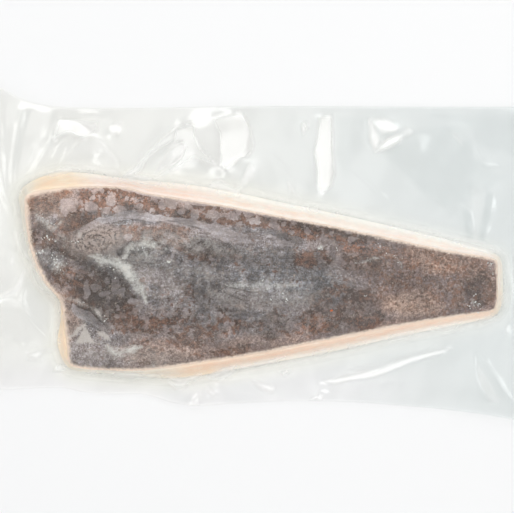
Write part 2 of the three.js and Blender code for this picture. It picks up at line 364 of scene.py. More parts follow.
# ---- pleats of the film ----
# Flat facets that the film folds into: which light each one mirrors and how fully, how much painted sheen (or,
# below zero, painted darker reflection) lies on the film there, and its outline. A facet without a light is only
# painted.
FACETS = [
    ("E", 0.8, 0.9, [(-39.5, 116.3), (-25.9, 119), (-13.6, 120), (-7.5, 110.1), (-3.1, 95.3), (-5, 88), (-9.9, 83),
        (-16.1, 81.8), (-23.5, 74.4), (-30.2, 70.7), (-32.7, 88), (-33.3, 102.7)]),
    ("W", 1.0, 0.9, [(-71.5, 106.4), (-55.5, 110.7), (-54.9, 101.5), (-50.6, 90.4), (-43.2, 81.8), (-30.9, 71),
        (-48.1, 80.1), (-55.5, 83), (-62.9, 78.1), (-71.5, 71.9), (-85.1, 65.8), (-75.2, 74.4), (-66.6, 81.8),
        (-62.9, 91.7), (-65.3, 96), (-72.7, 94.7)]),
    ("N", 0.45, 0.4, [(-54.9, 105.2), (-50.6, 115.1), (-39.5, 116.3), (-35.2, 108.9), (-32.1, 88), (-30.9, 71.9),
        (-38.2, 79.3), (-48.1, 89.2), (-54.3, 100.3)]),
    ("NW", 1.0, 1.0, [(-116.5, 66), (-106, 75), (-93.7, 89.8), (-81.4, 101.3), (-71.5, 107.9), (-58, 112.6),
        (-55.5, 110.7), (-71.5, 106.4), (-75.2, 97.2), (-88.8, 89.8), (-98.9, 80.3), (-102.9, 71.3), (-109.7, 67)]),
    ("SE", 0.4, -0.2, [(-102.3, 70.7), (-98.6, 79.3), (-88.8, 89.2), (-76.4, 95.7), (-78.9, 88), (-87.5, 75.6),
        (-91.8, 67)]),
    ("W", 0.72, 0.6, [(-89.4, 68.3), (-86.9, 75.6), (-79.9, 85.5), (-72.1, 93.5), (-65.6, 95.3), (-63.9, 91.4),
        (-67.2, 82.4), (-75.8, 75)]),
    ("NW", 0.7, 0.4, [(-6.8, 76.9), (-2.5, 70.7), (-3.8, 64.6), (-11.1, 57.2), (-17.9, 52.2), (-14.8, 60.9)]),
    ("N", 0.9, 0.6, [(-116.9, 63.3), (-108.3, 67), (-95.9, 65.2), (-92.2, 63.3), (-112, 61.9)]),
    ("N", 0.6, 0.5, [(-43.2, 58.4), (-38.2, 62.7), (-32.1, 63.3), (-25.9, 57.8), (-20.4, 52.9), (-32.1, 55.3)]),
    ("NE", 0.7, 0.3, [(25.8, 60.9), (29.5, 59.6), (32.6, 53.5), (37.4, 46.7), (27.7, 53.5)]),
    ("E", 1.0, 0.9, [(54.7, 118), (65.4, 118), (65.7, 93), (67.4, 67.5), (64.9, 57.3), (56, 50.8), (53.8, 55.6),
        (53, 72.6), (49.6, 87.9), (53.5, 103.2)]),
    ("E", 1.0, 0.9, [(39, 112.6), (41.9, 113.4), (43.1, 108.3), (40.5, 103.5)]),
    ("W", 1.0, 0.6, [(97.7, 116), (101.5, 113.4), (104.9, 103.2), (107.4, 96.4), (103.2, 87.6), (99.8, 98.1)]),
    ("N", 0.7, 0.5, [(101.8, 116), (115.1, 115.1), (122.7, 107.5), (120.2, 104.9), (110, 104.1)]),
    ("NW", 0.8, 0.8, [(103.2, 87.6), (111.7, 96.4), (121.9, 101.5), (127.8, 100.5), (121.9, 94.7), (111.7, 90.1)]),
    ("N", 0.5, 0.3, [(127.8, 103.2), (132.1, 108), (137.2, 104.9), (132.1, 100.7)]),
    ("N", 0.5, 0.2, [(169.2, 104.4), (175.5, 103.5), (181.1, 92.7), (177.2, 94.7)]),
    ("W", 0.5, 0.1, [(187.4, 52.2), (191.6, 59), (198.4, 53.9), (200.5, 47.1), (196.7, 28.4), (193.7, 8),
        (190.8, 10.5), (190.4, 35.2)]),
    ("NE", 0.95, 0.9, [(-173.6, 115.1), (-161.2, 116), (-141.5, 113.8), (-141.5, 106.4), (-147.7, 102.1),
        (-157.5, 100.3), (-164.9, 105.2), (-179.1, 98.4)]),
    ("N", 0.7, 0.5, [(-129.2, 108.3), (-126.1, 113.2), (-121.2, 112.6), (-120, 107.7), (-123, 102.1), (-128, 102.7)]),
    ("SE", 0.25, -0.7, [(-206.2, 123.7), (-198.8, 123.7), (-206.2, 100.3), (-213, 70.7), (-216.1, 71.9)]),
    ("SE", 0.35, -0.4, [(-180.3, 125.5), (-174.2, 125.5), (-179.7, 101.5), (-185.3, 92.9)]),
    ("W", 1.0, 0.3, [(-146.4, 79.3), (-144.2, 83.6), (-140.9, 87), (-136.8, 87), (-143.7, 80.3), (-141.5, 77.1),
        (-134.1, 73.2), (-140.3, 74.7)]),
    ("W", 0.7, 0.5, [(-228, -43), (-218.3, -40.2), (-212.4, -41.4), (-206, -30.8), (-204.5, -16.7), (-212.7, -32),
        (-218.3, -36.7), (-228, -39)]),
    ("NW", 0.4, 0.0, [(-228, -20.2), (-219.5, -12.3), (-215.7, -9.7), (-219.5, -18.1), (-228, -23)]),
    ("W", 1.0, 0.4, [(-216.2, -4), (-214.6, -6.8), (-214.4, -13.5), (-216.9, -12.3)]),
    ("W", 0.7, 0.3, [(-214.2, 18.5), (-210.1, 18.5), (-207.8, 5.6), (-200.1, -6.8), (-205.4, -5), (-211.3, 5.6)]),
    ("NW", 0.4, 0.0, [(-228, 7.3), (-217.1, 6.1), (-208.9, -0.3), (-204.2, -6.8), (-211.3, -3.8), (-218.3, 2),
        (-228, 3.8)]),
    ("S", 0.3, 0.1, [(-228, -47.2), (-216, -50.7), (-207.2, -53.1), (-203.1, -66), (-203.1, -80.1), (-213.6, -80.1),
        (-228, -70.7)]),
    ("E", 0.2, -0.4, [(-203.7, -16.7), (-192.5, -28.5), (-182, -40.2), (-179.6, -54.3), (-181.4, -68.3), (-191.3, -73),
        (-201.9, -61.3), (-206.6, -50.7)]),
    ("SW", 1.0, 0.8, [(-178.4, -104.9), (-176.1, -100.9), (-173.7, -100.2), (-168.8, -104.1), (-173.7, -105.6)]),
    ("SW", 0.5, 0.4, [(-200.5, -95.1), (-198.6, -90.9), (-195.4, -91.2), (-190.7, -96.3)]),
    ("S", 0.8, 0.4, [(-204.2, -88.9), (-198.4, -90), (-180.8, -85.3), (-178.4, -87.1), (-190.2, -88.9),
        (-191.3, -94.1)]),
    ("W", 1.0, 0.4, [(-58.3, -136), (-57.4, -129), (-53.3, -124.9), (-52.3, -131.6), (-52.2, -136)]),
    ("SW", 1.0, 0.4, [(-45.4, -120), (-40.7, -122.6), (-36.4, -124.5), (-38.7, -128.1), (-42.6, -124.5)]),
    ("S", 0.9, 0.4, [(-5.8, -113.9), (4.5, -117.8), (14.8, -120.4), (11.8, -125.6), (3.2, -121.7)]),
    ("S", 0.9, 0.9, [(20.4, -106.7), (24.5, -104.1), (29.9, -105.2), (24.5, -108.8)]),
    ("S", 0.9, 0.7, [(-76.4, -115.2), (-65.8, -112.3), (-57.8, -111.4), (-63, -119.6), (-72.3, -120.9)]),
    ("S", 0.95, 0.7, [(-45.8, -111), (-33.6, -109.3), (-27.1, -105.8), (-18.7, -104.3), (-24.3, -110.3),
        (-32.3, -113.8)]),
    ("N", 0.5, -0.3, [(-33.6, -118.1), (-14.2, -114.8), (-2.6, -120.6), (5.1, -127.1), (-1.3, -132.3),
        (-27.1, -134.2)]),
    ("S", 0.95, 0.5, [(56.8, -115.5), (82, -109.6), (109.4, -103.8), (138.4, -93.1), (158.2, -87.6), (170, -85.5),
        (158.2, -90.7), (138.4, -96.5), (104.8, -110.5), (66.7, -117.1)]),
    ("S", 0.5, 0.2, [(78.9, -105.9), (89.6, -101.5), (101.8, -102.6), (135.3, -90.4), (150, -86), (140, -91),
        (104.8, -104.1)]),
    ("SE", 1.0, 0.3, [(43.8, -134), (53.8, -126.2), (54.8, -121.2), (56.3, -134)]),
    ("SW", 0.5, 0.2, [(193.3, -100.3), (200.9, -111.7), (211.6, -128.5), (213.4, -132.8), (204, -132.8),
        (193.6, -111.7)]),
    ("E", 0.5, 0.3, [(218.2, -68.3), (222, -64.5), (223.4, -67.2), (219.5, -72.4)]),
    ("", 0, -1.1, [(180.6, 40.3), (187.4, 31.8), (190.4, 10.5), (185.7, 10.5), (182.3, 21.6)]),
    ("", 0, -1.3, [(201.1, 51.7), (206.1, 50.5), (204.4, 31.8), (198.4, 8), (194.3, 10.5), (197.6, 28.4)]),
    ("", 0, -0.6, [(109.1, 87.9), (128.7, 100.7), (149.1, 108.3), (183.1, 110), (191.6, 81.1), (217.1, 64.1),
        (200.1, 52.2), (178, 42), (166.1, 37.7), (149.1, 48.8), (135.5, 62.4)]),
    ("", 0, -0.4, [(166.1, 39.4), (178, 41.1), (176.3, 36.9), (170.4, 29.2)]),
    ("", 0, 0.25, [(-176, 68.3), (-161.2, 89.8), (-152.6, 98.4), (-145.8, 101.1), (-137.8, 97.6), (-129.2, 88),
        (-122.1, 78.1), (-121.2, 64.6), (-137.8, 70.7)]),
    ("", 0, -0.6, [(-83.9, -116.8), (-77.4, -120.6), (-65.8, -124.5), (-58.1, -125.8), (-60.7, -135.5),
        (-83.9, -129.7)]),
    ("", 0, -0.5, [(189.9, -86.6), (191.5, -86.6), (192.1, -104.1), (195.1, -119.4), (205.5, -133.1), (197.9, -130),
        (189.9, -104.1)]),
    ("", 0, -0.7, [(190.3, -86.6), (193.3, -87.3), (204, -104.1), (225.6, -134.6), (211.6, -123.9), (200.9, -107.2)]),
    ("", 0, -0.4, [(72, 118), (94, 116), (92, 92), (76, 62), (70, 80)]),
    ("", 0, -0.5, [(150, 120), (228, 122), (228, 84), (196, 92), (183, 112)]),
    ("", 0, -1.2, [(213, 0), (219, -4), (221, -30), (219, -54), (212, -58), (215, -30)]),
    ("", 0, 1.0, [(-76, -112), (-64, -112.4), (-50, -107.5), (-58, -113), (-68, -115.4)]),
    ("", 0, 1.0, [(-44, -108.6), (-30, -103.5), (-19, -101), (-27, -106.5), (-36, -109.6)]),
    ("", 0, 0.6, [(-14, -102.6), (4, -98.4), (24, -93), (4, -99.8)]),
    ("", 0, 0.7, [(-125, -108.4), (-104.5, -107.8), (-85.4, -110), (-104.5, -110.4)]),
]

# Single folds: the line they follow, half their width and their height.
FOLDS = [
    ([(-176, 68.3), (-161.2, 89.8), (-152.6, 98.4), (-145.8, 101.1), (-137.8, 97.6), (-129.2, 88), (-122.1, 78.1),
        (-121.2, 64.6)], 2.2, 0.5),
    ([(-180.7, 69.5), (-179.1, 80.6), (-172.3, 94.1), (-168.6, 96.3), (-166.4, 92.9), (-168.9, 84.3),
        (-177, 68.3)], 2.0, 0.45),
    ([(-175.5, 122), (-180, 101), (-201.9, 61.6), (-213.3, 45.7)], 2.6, 0.7),
    ([(-204.5, 134), (-211, 100), (-215.1, 71.2), (-216, 44)], 4.5, 0.8),
    ([(-225, 138), (-226, 100), (-224, 62), (-218, 40), (-212, 20)], 4.5, 0.9),
    ([(-89.4, 66), (-86.9, 75.6), (-79.9, 85.5), (-72.1, 93.5), (-65.6, 95.3), (-63.9, 91.4), (-67.2, 82.4),
        (-75.8, 75), (-87, 67)], 2.0, 0.4),
    ([(7.5, 89.7), (28.6, 69.5), (48.8, 52.8)], 2.0, 0.45),
    ([(88.5, 113.5), (96, 98), (101, 88)], 2.0, 0.45),
    ([(78.7, 75.6), (91.9, 65.1), (103.4, 53.6), (116, 44)], 2.2, 0.5),
    ([(103, 86), (109.1, 82), (125.3, 71.2), (137.7, 60.7), (151, 49), (167.8, 37.7)], 2.2, 0.55),
    ([(191.3, 92.7), (193.3, 87.9), (196.7, 80.2), (202.7, 74.6), (208.6, 75), (213.7, 69.5)], 2.4, 0.8),
    ([(180.6, 44), (187.4, 31.8), (190.4, 10.5)], 3.0, 0.7),
    ([(206, 52), (204.4, 31.8), (196, 8)], 3.0, 0.7),
    ([(-160.5, -102), (-138.5, -107.8), (-112.2, -110.3), (-86.6, -111.4)], 2.0, 0.6),
    ([(-76.1, -116.6), (-59.4, -112.6), (-36.5, -110.4), (-15.4, -103.6), (1.3, -100.5), (40, -92.5)], 2.0, 0.55),
    ([(-228, -44), (-216, -44.9), (-207.2, -50), (-203, -66), (-204, -80), (-206, -88)], 2.6, 1.0),
    ([(-204, -30), (-206, -46), (-196, -62), (-178, -80)], 2.6, 0.9),
    ([(-218, -74), (-206.3, -88)], 1.8, 0.6),
    ([(-206, -12), (-190, -30), (-181, -42), (-179, -60), (-181, -82)], 2.6, 0.9),
    ([(190.3, -86.6), (193.3, -87.3), (204, -104.1), (215.4, -120.9), (225.6, -136)], 2.6, 0.7),
    ([(190.4, -86.6), (190.2, -104.1), (194.5, -119.4), (205.5, -133.1)], 2.2, 0.5),
    ([(106.4, -118), (114, -115.5), (123.9, -114.8), (123.1, -122.4)], 2.0, 0.4),
    ([(218, 0), (220, -20), (224, -40), (226, -60)], 3.0, 0.7),
]

# Where the middle of each softbox is, in metres. S and N lie across the pack, E beyond its tail.
BOX_AT = {
    "N": (0.0, 1.0, 1.3), "NE": (0.55, 1.0, 1.3), "NW": (-0.55, 1.0, 1.3), "E": (1.08, 0.05, 1.25),
    "W": (-1.08, 0.05, 1.25), "S": (0.0, -1.0, 1.3), "SE": (0.45, -1.0, 1.3), "SW": (-0.45, -1.0, 1.3),
}


def mirror_slope(x, y, box):
    """The slope of a facet at (x, y) that shows the camera that softbox."""
    here = np.array([x, y, 0]) * MM
    to_camera = np.array([CAMERA_OVER[0], CAMERA_OVER[1], CAMERA_HEIGHT]) * MM - here
    to_box = np.array(BOX_AT[box]) - here
    half = to_camera / np.linalg.norm(to_camera) + to_box / np.linalg.norm(to_box)
    return -half[:2] / half[2]


def within(x, y, outline):
    """True for the places inside a closed outline."""
    inside = np.zeros(x.shape, bool)
    for (ax, ay), (bx, by) in zip(outline, outline[1:] + outline[:1]):
        crosses = (ay > y) != (by > y)
        inside ^= crosses & (x < (bx - ax) * (y - ay) / ((by - ay) or 1e-9) + ax)
    return inside


def settle(slope_x, slope_y, stiff, free, rounds=420):
    """Heights whose slopes come nearest to those wanted, most of all where the film is stiff, and zero
    where it isn't free (conjugate gradients)."""
    stiff_x, stiff_y = 0.5 * (stiff[1:] + stiff[:-1]), 0.5 * (stiff[:, 1:] + stiff[:, :-1])

    def steepness(z):
        out = np.zeros_like(z)
        for axis, held in ((0, stiff_x), (1, stiff_y)):
            step = np.diff(z, axis=axis) * held
            lower = [slice(None)] * 2
            upper = [slice(None)] * 2
            lower[axis], upper[axis] = slice(None, -1), slice(1, None)
            out[tuple(lower)] -= step
            out[tuple(upper)] += step
        return out * free

    wanted = np.zeros_like(slope_x)
    across = 0.5 * (slope_x[1:] + slope_x[:-1]) * stiff_x
    wanted[:-1] -= across
    wanted[1:] += across
    along = 0.5 * (slope_y[:, 1:] + slope_y[:, :-1]) * stiff_y
    wanted[:, :-1] -= along
    wanted[:, 1:] += along
    z = np.zeros_like(slope_x)
    rest = wanted * free
    move = rest.copy()
    size = (rest * rest).sum()
    for _ in range(rounds):
        pull = steepness(move)
        step = size / max((move * pull).sum(), 1e-12)
        z += step * move
        rest -= step * pull
        new_size = (rest * rest).sum()
        move = rest + new_size / max(size, 1e-12) * move
        size = new_size
    return z


def crumple(x, y):
    """Broad, shallow facets between straight, unevenly spaced folds, flatter towards the tail."""
    total = 0 * x
    for turn, spacing, rise, seed in CRUMPLES:
        along = x * math.cos(math.radians(turn)) + y * math.sin(math.radians(turn))
        along = along / spacing + 0.35 * noise(x.ravel(), y.ravel(), 80, seed).reshape(x.shape)
        total += rise * np.abs(along % 1 - 0.5) * 2
    return total * (1 - 0.5 * smoothstep(x, 60, 150))


class Pleats:
    """The film's pleats as heights on a grid of 1 mm squares, to be read anywhere."""

    def __init__(self, outline):
        self.x = np.arange(-266.0, 267.0)
        self.y = np.arange(-154.0, 155.0)
        gx, gy = np.meshgrid(self.x, self.y, indexing="ij")
        distance, width, _ = outline.measure(gx.ravel(), gy.ravel())
        beyond_skin = distance.reshape(gx.shape)
        top = np.interp(self.x, *zip(*POUCH_TOP))[:, None]
        bottom = np.interp(self.x, *zip(*POUCH_BOTTOM[::-1]))[:, None]
        within_pouch = (gy < top - 1) & (gy > bottom + 1) & (np.abs(gx) < POUCH_END - 1)
        free = ((beyond_skin > 1) & within_pouch).astype(float)
        plain_x, plain_y = np.gradient(crumple(gx, gy))
        covered = np.zeros_like(gx)
        facets = []
        for box, share, _, points in FACETS:
            if not box:
                continue
            spot = within(gx, gy, points).astype(float)
            facets.append([spot, mirror_slope(*np.mean(points, axis=0), box) * share, FIRST_GAIN])
            covered = np.maximum(covered, spot)
        stiff = 1 + FACET_STIFFNESS * covered
        for _ in range(2):
            slope_x = sum(spot * slope[0] * gain for spot, slope, gain in facets) + plain_x * (1 - covered)
            slope_y = sum(spot * slope[1] * gain for spot, slope, gain in facets) + plain_y * (1 - covered)
            heights = settle(slope_x, slope_y, stiff, free)
            made_x, made_y = np.gradient(heights)
            for facet in facets:
                spot, slope, gain = facet
                area = max(spot.sum(), 1)
                made = ((made_x * slope[0] + made_y * slope[1]) * spot).sum() / area / (slope @ slope)
                facet[2] = np.clip(gain / max(made, 0.35), 0.8, 2.0)
        beyond_foot = beyond_skin - width.reshape(gx.shape)
        room = smoothstep(np.minimum(top - gy, gy - bottom), 0, 26) * smoothstep(beyond_foot, 0, 16)
        self.heights = heights + PLEAT_RISE * room

    def read(self, x, y):
        i = np.clip(x - self.x[0], 0, len(self.x) - 1.001)
        j = np.clip(y - self.y[0], 0, len(self.y) - 1.001)
        a, b = i.astype(int), j.astype(int)
        fa, fb = i - a, j - b
        h = self.heights
        low = h[a, b] * (1 - fa) + h[a + 1, b] * fa
        high = h[a, b + 1] * (1 - fa) + h[a + 1, b + 1] * fa
        return low * (1 - fb) + high * fb


def fold_height(x, y, points, half_width, height):
    """A fold like a low tent over its line, which runs out at both ends."""
    (left, low), (right, high) = np.min(points, axis=0) - half_width, np.max(points, axis=0) + half_width
    near = (x > left) & (x < right) & (y > low) & (y < high)
    risen = np.zeros(len(x))
    distance, share = line_measure(x[near], y[near], points)
    ends = np.clip(np.minimum(share, 1 - share) * 5, 0, 1)
    risen[near] = height * np.clip(1 - distance / half_width, 0, 1) * ends
    return risen


def pleat_height(x, y, beyond_foot, pleats):
    """How far the pleats lift both films of the margin."""
    folds = FOLD_RISE * sum(fold_height(x, y, *fold) for fold in FOLDS)
    small = 0.1 * rough_noise(x, y, 12, 5, 2) + 0.3 * rough_noise(x, y, 34, 9, 2)
    return (pleats.read(x, y) + folds + small) * smoothstep(beyond_foot, -8, 8)


# ---- writing shapes to meshes ----
def grid_piece(name, columns, rows):
    """A flat grid primitive, to be shaped, and the column and row of each of its vertices."""
    bpy.ops.object.select_all(action="DESELECT")
    bpy.ops.mesh.primitive_grid_add(x_subdivisions=columns, y_subdivisions=rows, size=1)
    piece = bpy.context.object
    piece.name = piece.data.name = name
    flat = np.empty(len(piece.data.vertices) * 3)
    piece.data.vertices.foreach_get("co", flat)
    flat = flat.reshape(-1, 3)
    i = np.rint((flat[:, 0] + 0.5) * columns).astype(int)
    j = np.rint((0.5 - flat[:, 1]) * rows).astype(int)
    return piece, i, j


def shape(piece, x, y, z):
    """Moves a piece's vertices to places in millimetres."""
    piece.data.vertices.foreach_set("co", (np.stack([x, y, z], axis=1) * MM).ravel())
    piece.data.update()


def places(piece):
    flat = np.empty(len(piece.data.vertices) * 3)
    piece.data.vertices.foreach_get("co", flat)
    return flat.reshape(-1, 3) / MM


def give(piece, name, values):
    """Stores a value at each vertex for the material to read."""
    layer = piece.data.attributes.get(name) or piece.data.attributes.new(name, "FLOAT", "POINT")
    layer.data.foreach_set("value", np.asarray(values, np.float32))


def given(piece, name):
    values = np.empty(len(piece.data.vertices), np.float32)
    piece.data.attributes[name].data.foreach_get("value", values)
    return values


def select_only(piece):
    bpy.ops.object.select_all(action="DESELECT")
    piece.select_set(True)
    bpy.context.view_layer.objects.active = piece


def in_edit_mode(piece, *steps):
    select_only(piece)
    bpy.ops.object.mode_set(mode="EDIT")
    for step in steps:
        step()
    bpy.ops.object.mode_set(mode="OBJECT")


def select_border():
    bpy.ops.mesh.select_mode(type="EDGE")
    bpy.ops.mesh.select_all(action="DESELECT")
    bpy.ops.mesh.select_non_manifold(
        extend=False, use_wire=False, use_boundary=True, use_multi_face=False, use_non_contiguous=False, use_verts=False
    )


def join(first, *others):
    select_only(first)
    for other in others:
        other.select_set(True)
    bpy.ops.object.join()
    return first


def smooth(piece):
    select_only(piece)
    bpy.ops.object.shade_smooth()


def select_everything():
    bpy.ops.mesh.select_all(action="SELECT")


def turn_faces_out():
    bpy.ops.mesh.normals_make_consistent(inside=False)


# ---- the skin ----
# Each mask falls off evenly from 1 on a line or at a middle to 0 at twice its width. The skin's material cuts it
# near 0.5 with fine noise, which gives crisp, ragged borders.
def stroke(x, y, points, half_width):
    distance, share = line_measure(x, y, points)
    taper = 0.45 + 0.55 * smoothstep(np.minimum(share, 1 - share), 0, 0.18)
    return np.clip(1 - 0.5 * distance / (half_width * taper), 0, 1)


def blob(x, y, centre, radii, turn=0):
    """turn is in degrees."""
    c, s = math.cos(math.radians(turn)), math.sin(math.radians(turn))
    dx, dy = x - centre[0], y - centre[1]
    return np.clip(1 - 0.5 * np.hypot((dx * c + dy * s) / radii[0], (dy * c - dx * s) / radii[1]), 0, 1)


def fill(x, y, outline, border=1.5):
    """1 inside an outline, 0 outside it and 0.5 on it."""
    distance, _ = line_measure(x, y, outline + outline[:1], 1)
    side = np.where(within(x, y, outline), 1, -1)
    return np.clip(0.5 + 0.5 * side * distance / border, 0, 1)


def patch(x, y, centre, radii, turn=0):
    """A patch with a wide, soft border."""
    return smoothstep(blob(x, y, centre, radii, turn), 0.3, 0.7)


def most(*masks):
    return np.maximum.reduce(masks)


# Lines on the skin: a band of ice, two strokes of frost and the step of the flap, along which a highlight is painted,
# with a painted shadow just below it.
ARC_BAND = [
    (-161.4, -4), (-158.8, 5.2), (-154.5, 15.6), (-141.4, 23.4), (-128.4, 27.8), (-112.7, 30.4), (-93.6, 29.1),
    (-76.1, 26.9), (-58.7, 24.3), (-37, 20), (-8, 12),
]
FROST_ARC = [(-114.6, -4), (-111.8, 2.5), (-105.7, 5.2), (-97, 5.6), (-90.1, 4.3), (-84, 8.5)]
FROST_BAND = [
    (-146, -5), (-135.3, -7.9), (-128.4, -10.5), (-119.7, -13), (-111, -19.9), (-103.5, -29.7), (-98, -39), (-97, -43),
]
STEP_EDGE = [(-173, -39), (-158.8, -42.7), (-150.1, -47.1), (-139.7, -52.3), (-135.3, -58.4), (-131, -64)]
# Pairs of x and millimetres: how wide the spotted strip is, and how far in the skin's edges fray.
STRIP_WIDTH = [(-170, 20), (-121, 21), (-92, 20), (-60, 19), (-20, 17), (26, 14), (85, 13), (110, 10)]
BELLY_FADE = [(-210, 7), (-182, 5), (-150, 4), (-60, 3), (20, 3), (120, 3), (210, 2)]
BACK_FADE = [(-210, 7.5), (-188, 5), (-160, 3), (-60, 2.4), (60, 3.2), (120, 4), (210, 3.5)]
CRACKS = [
    [(-33.5, -31.4), (-27.4, -36.6), (-15.2, -41.8), (-3.9, -48.8)],
    [(-28.3, -30.5), (-15.2, -33.6), (-6.5, -35.7), (4.8, -35.7)],
    [(-10, -23.6), (-3, -25.3)],
    [(-86.6, 25.6), (-74.4, 25.9), (-60.5, 22.4), (-44, 18)],
    [(-20.5, -82.6), (-10.9, -81.5), (-2.2, -81.6)],
    [(-10.9, -82.2), (-10.9, -90)],
    [(-106, -82), (-96, -78), (-86, -72)],
    [(-151, -10), (-160, -8), (-168, -2), (-176, 2)],
    [(62, -58), (63, -66)],
]
# Round spots of ice: strength, middle and radii.
ICE_SPOTS = [
    (1, -144, 38.2, 6, 5), (1, -128.4, 42.6, 4.6, 4.2), (1, -119.7, 35.6, 6.4, 3.2), (1, -131.8, 35.2, 3, 2.6),
    (1, -103.1, 38.7, 3, 2.6), (1, -83.1, 39.4, 3.4, 4), (1, -75.7, 41.7, 5, 5), (1, -66.6, 34.7, 3.6, 2.8),
    (1, -54.4, 31.3, 4, 4.4), (1, -39.6, 32.1, 5.4, 3.2), (1, -140.5, -32.3, 3.8, 4), (1, -134.5, -38.4, 2.7, 2.7),
    (1, -148.4, -34, 2.8, 8), (1, -130.1, -53.1, 2, 2), (1, -123, -31, 3, 8), (1, -112, 12, 4, 3), (1, -20, 30, 5, 3),
    (1, -4, 26, 4, 3), (1, 14, 22, 5, 3), (1, -117, -36, 3, 5), (1, -108, -44, 4, 3),
]


# Soft patches of the skin: strength, middle, radii and, where it isn't 0, the turn in degrees. BROWN and RUSTY
# are pigment. SHADED and LIT make the skin darker and lighter. COOL, TAN and PALE tint the bare skin.
BROWN = [
    (0.66, -186, 45, 26, 14), (0.74, -182, 12, 30, 12, -12), (0.74, -156, 26, 20, 14, 20), (0.8, -90, 14, 34, 10, -4),
    (0.7, -188, 11, 15, 7, 30), (0.66, -166, 1, 24, 7, -30), (0.75, -168, -21, 19, 9, -25), (0.95, -143, -35, 20, 21),
    (0.75, -120, -42, 12, 22, 28), (0.8, -112, -60, 20, 9, -20), (0.72, -88, -64, 26, 9), (0.66, -52, -74, 26, 11, 10),
    (0.6, -21, -64, 18, 9), (0.55, -30, -88, 30, 5, 8), (0.7, -59, -33, 8, 6), (0.56, -64, -58, 26, 9),
    (0.62, -128, 13, 28, 7, 12), (0.5, -136, -2, 24, 7, -12), (0.5, -86, 6, 14, 8), (0.7, -50, 0, 20, 9, -10),
    (0.45, -28, -2, 16, 8), (0.6, 14, -66, 16, 13), (0.66, 47, -6, 19, 9, -10), (0.66, 90, -6, 26, 14, -14),
    (0.7, 56, -61, 26, 13, 10), (0.75, 94, -60, 16, 11, 10), (0.56, 72, -42, 34, 13), (0.52, 118, -16, 26, 30),
    (0.5, 165, -24, 50, 38), (0.62, 196, -34, 16, 18), (0.3, 0, -48, 40, 14), (0.36, -90, -84, 30, 9),
    (0.4, -172, -92, 14, 10),
]
RUSTY = [
    (0.5, -186, 46, 26, 12), (0.6, -140, 44, 40, 12), (0.6, -78, 38, 40, 6, -8), (0.9, 30, 17, 22, 6, -12),
    (1.0, 84, 6, 26, 6, -12), (0.9, 48, -64, 16, 8, 10), (1.0, 94, -64, 14, 7, 10), (0.5, -100, -60, 30, 8, -10),
    (0.5, -150, -24, 18, 8, -20), (0.5, -26, -68, 14, 8), (0.5, 46, -6, 14, 6), (0.6, 150, -10, 30, 8, -8),
]
SHADED = [
    (0.35, -156, 27, 16, 12, 20), (0.45, -190, 12, 16, 9, -12), (0.7, -163, 1, 20, 8, -15), (0.6, -192, -9, 9, 9),
    (1.0, -136, -3, 42, 14), (1.0, -132, -34, 26, 28), (0.8, -110, -41, 16, 20), (0.7, -93, 0, 16, 10),
    (0.8, -42, -1, 26, 12), (0.8, -36, -40, 20, 18), (0.7, 35, 27, 42, 9, -12), (0.8, 77, 16, 38, 9, -12),
    (0.6, 67, 8, 24, 10, -12), (0.6, -79, -97, 24, 8), (0.6, 84, -70, 24, 8, 8), (0.55, 147, -63, 20, 7, 8),
    (0.7, -145, -58, 20, 8, -33), (0.4, -88, -89, 22, 8), (0.9, -143, -38, 18, 16), (0.7, -122, -44, 11, 20, 28),
    (0.55, -104, -62, 26, 8, -8), (0.35, -168, -20, 16, 8, -25), (0.35, -178, 3, 20, 8, -25), (0.55, -101, -9, 13, 6),
    (0.55, 24, -12, 38, 10, -4), (0.6, 48, -12, 18, 10), (0.6, 88, -8, 26, 14, -14), (0.7, 14, -66, 14, 12),
    (0.55, 60, -58, 26, 12, 8), (0.7, 92, -56, 22, 14, 8), (0.45, 66, -38, 40, 14, -4), (0.45, -64, -52, 60, 16),
    (0.45, -20, -72, 60, 12, 8), (0.5, 196, -34, 14, 16), (0.25, 130, -20, 24, 24), (0.4, -60, -20, 30, 12, -12),
    (0.45, -160, -62, 14, 10, -20), (0.4, 26, 12, 16, 7, -12), (0.85, -149, -14, 9, 14), (1.0, -136, -40, 9, 26),
    (0.8, -121, 0, 9, 11), (0.85, -37, -3, 10, 13), (0.8, -30, -41, 18, 9), (0.55, 20, -45, 20, 9),
    (0.4, -8, 9, 10, 8), (0.75, -110, 34, 11, 6), (0.5, -79, 43, 8, 5), (0.6, -64, 30, 10, 9),
    (0.4, 76, -68, 24, 6, 8), (0.4, 135, -61, 24, 5, 8), (0.34, -186, 40, 14, 11), (0.3, 12, -82, 30, 8, 8),
    (0.3, 76, -70, 20, 7, 8), (0.3, -8, -45, 14, 10), (0.35, -107, -71, 11, 9), (0.3, -82, -87, 18, 9, 4),
]
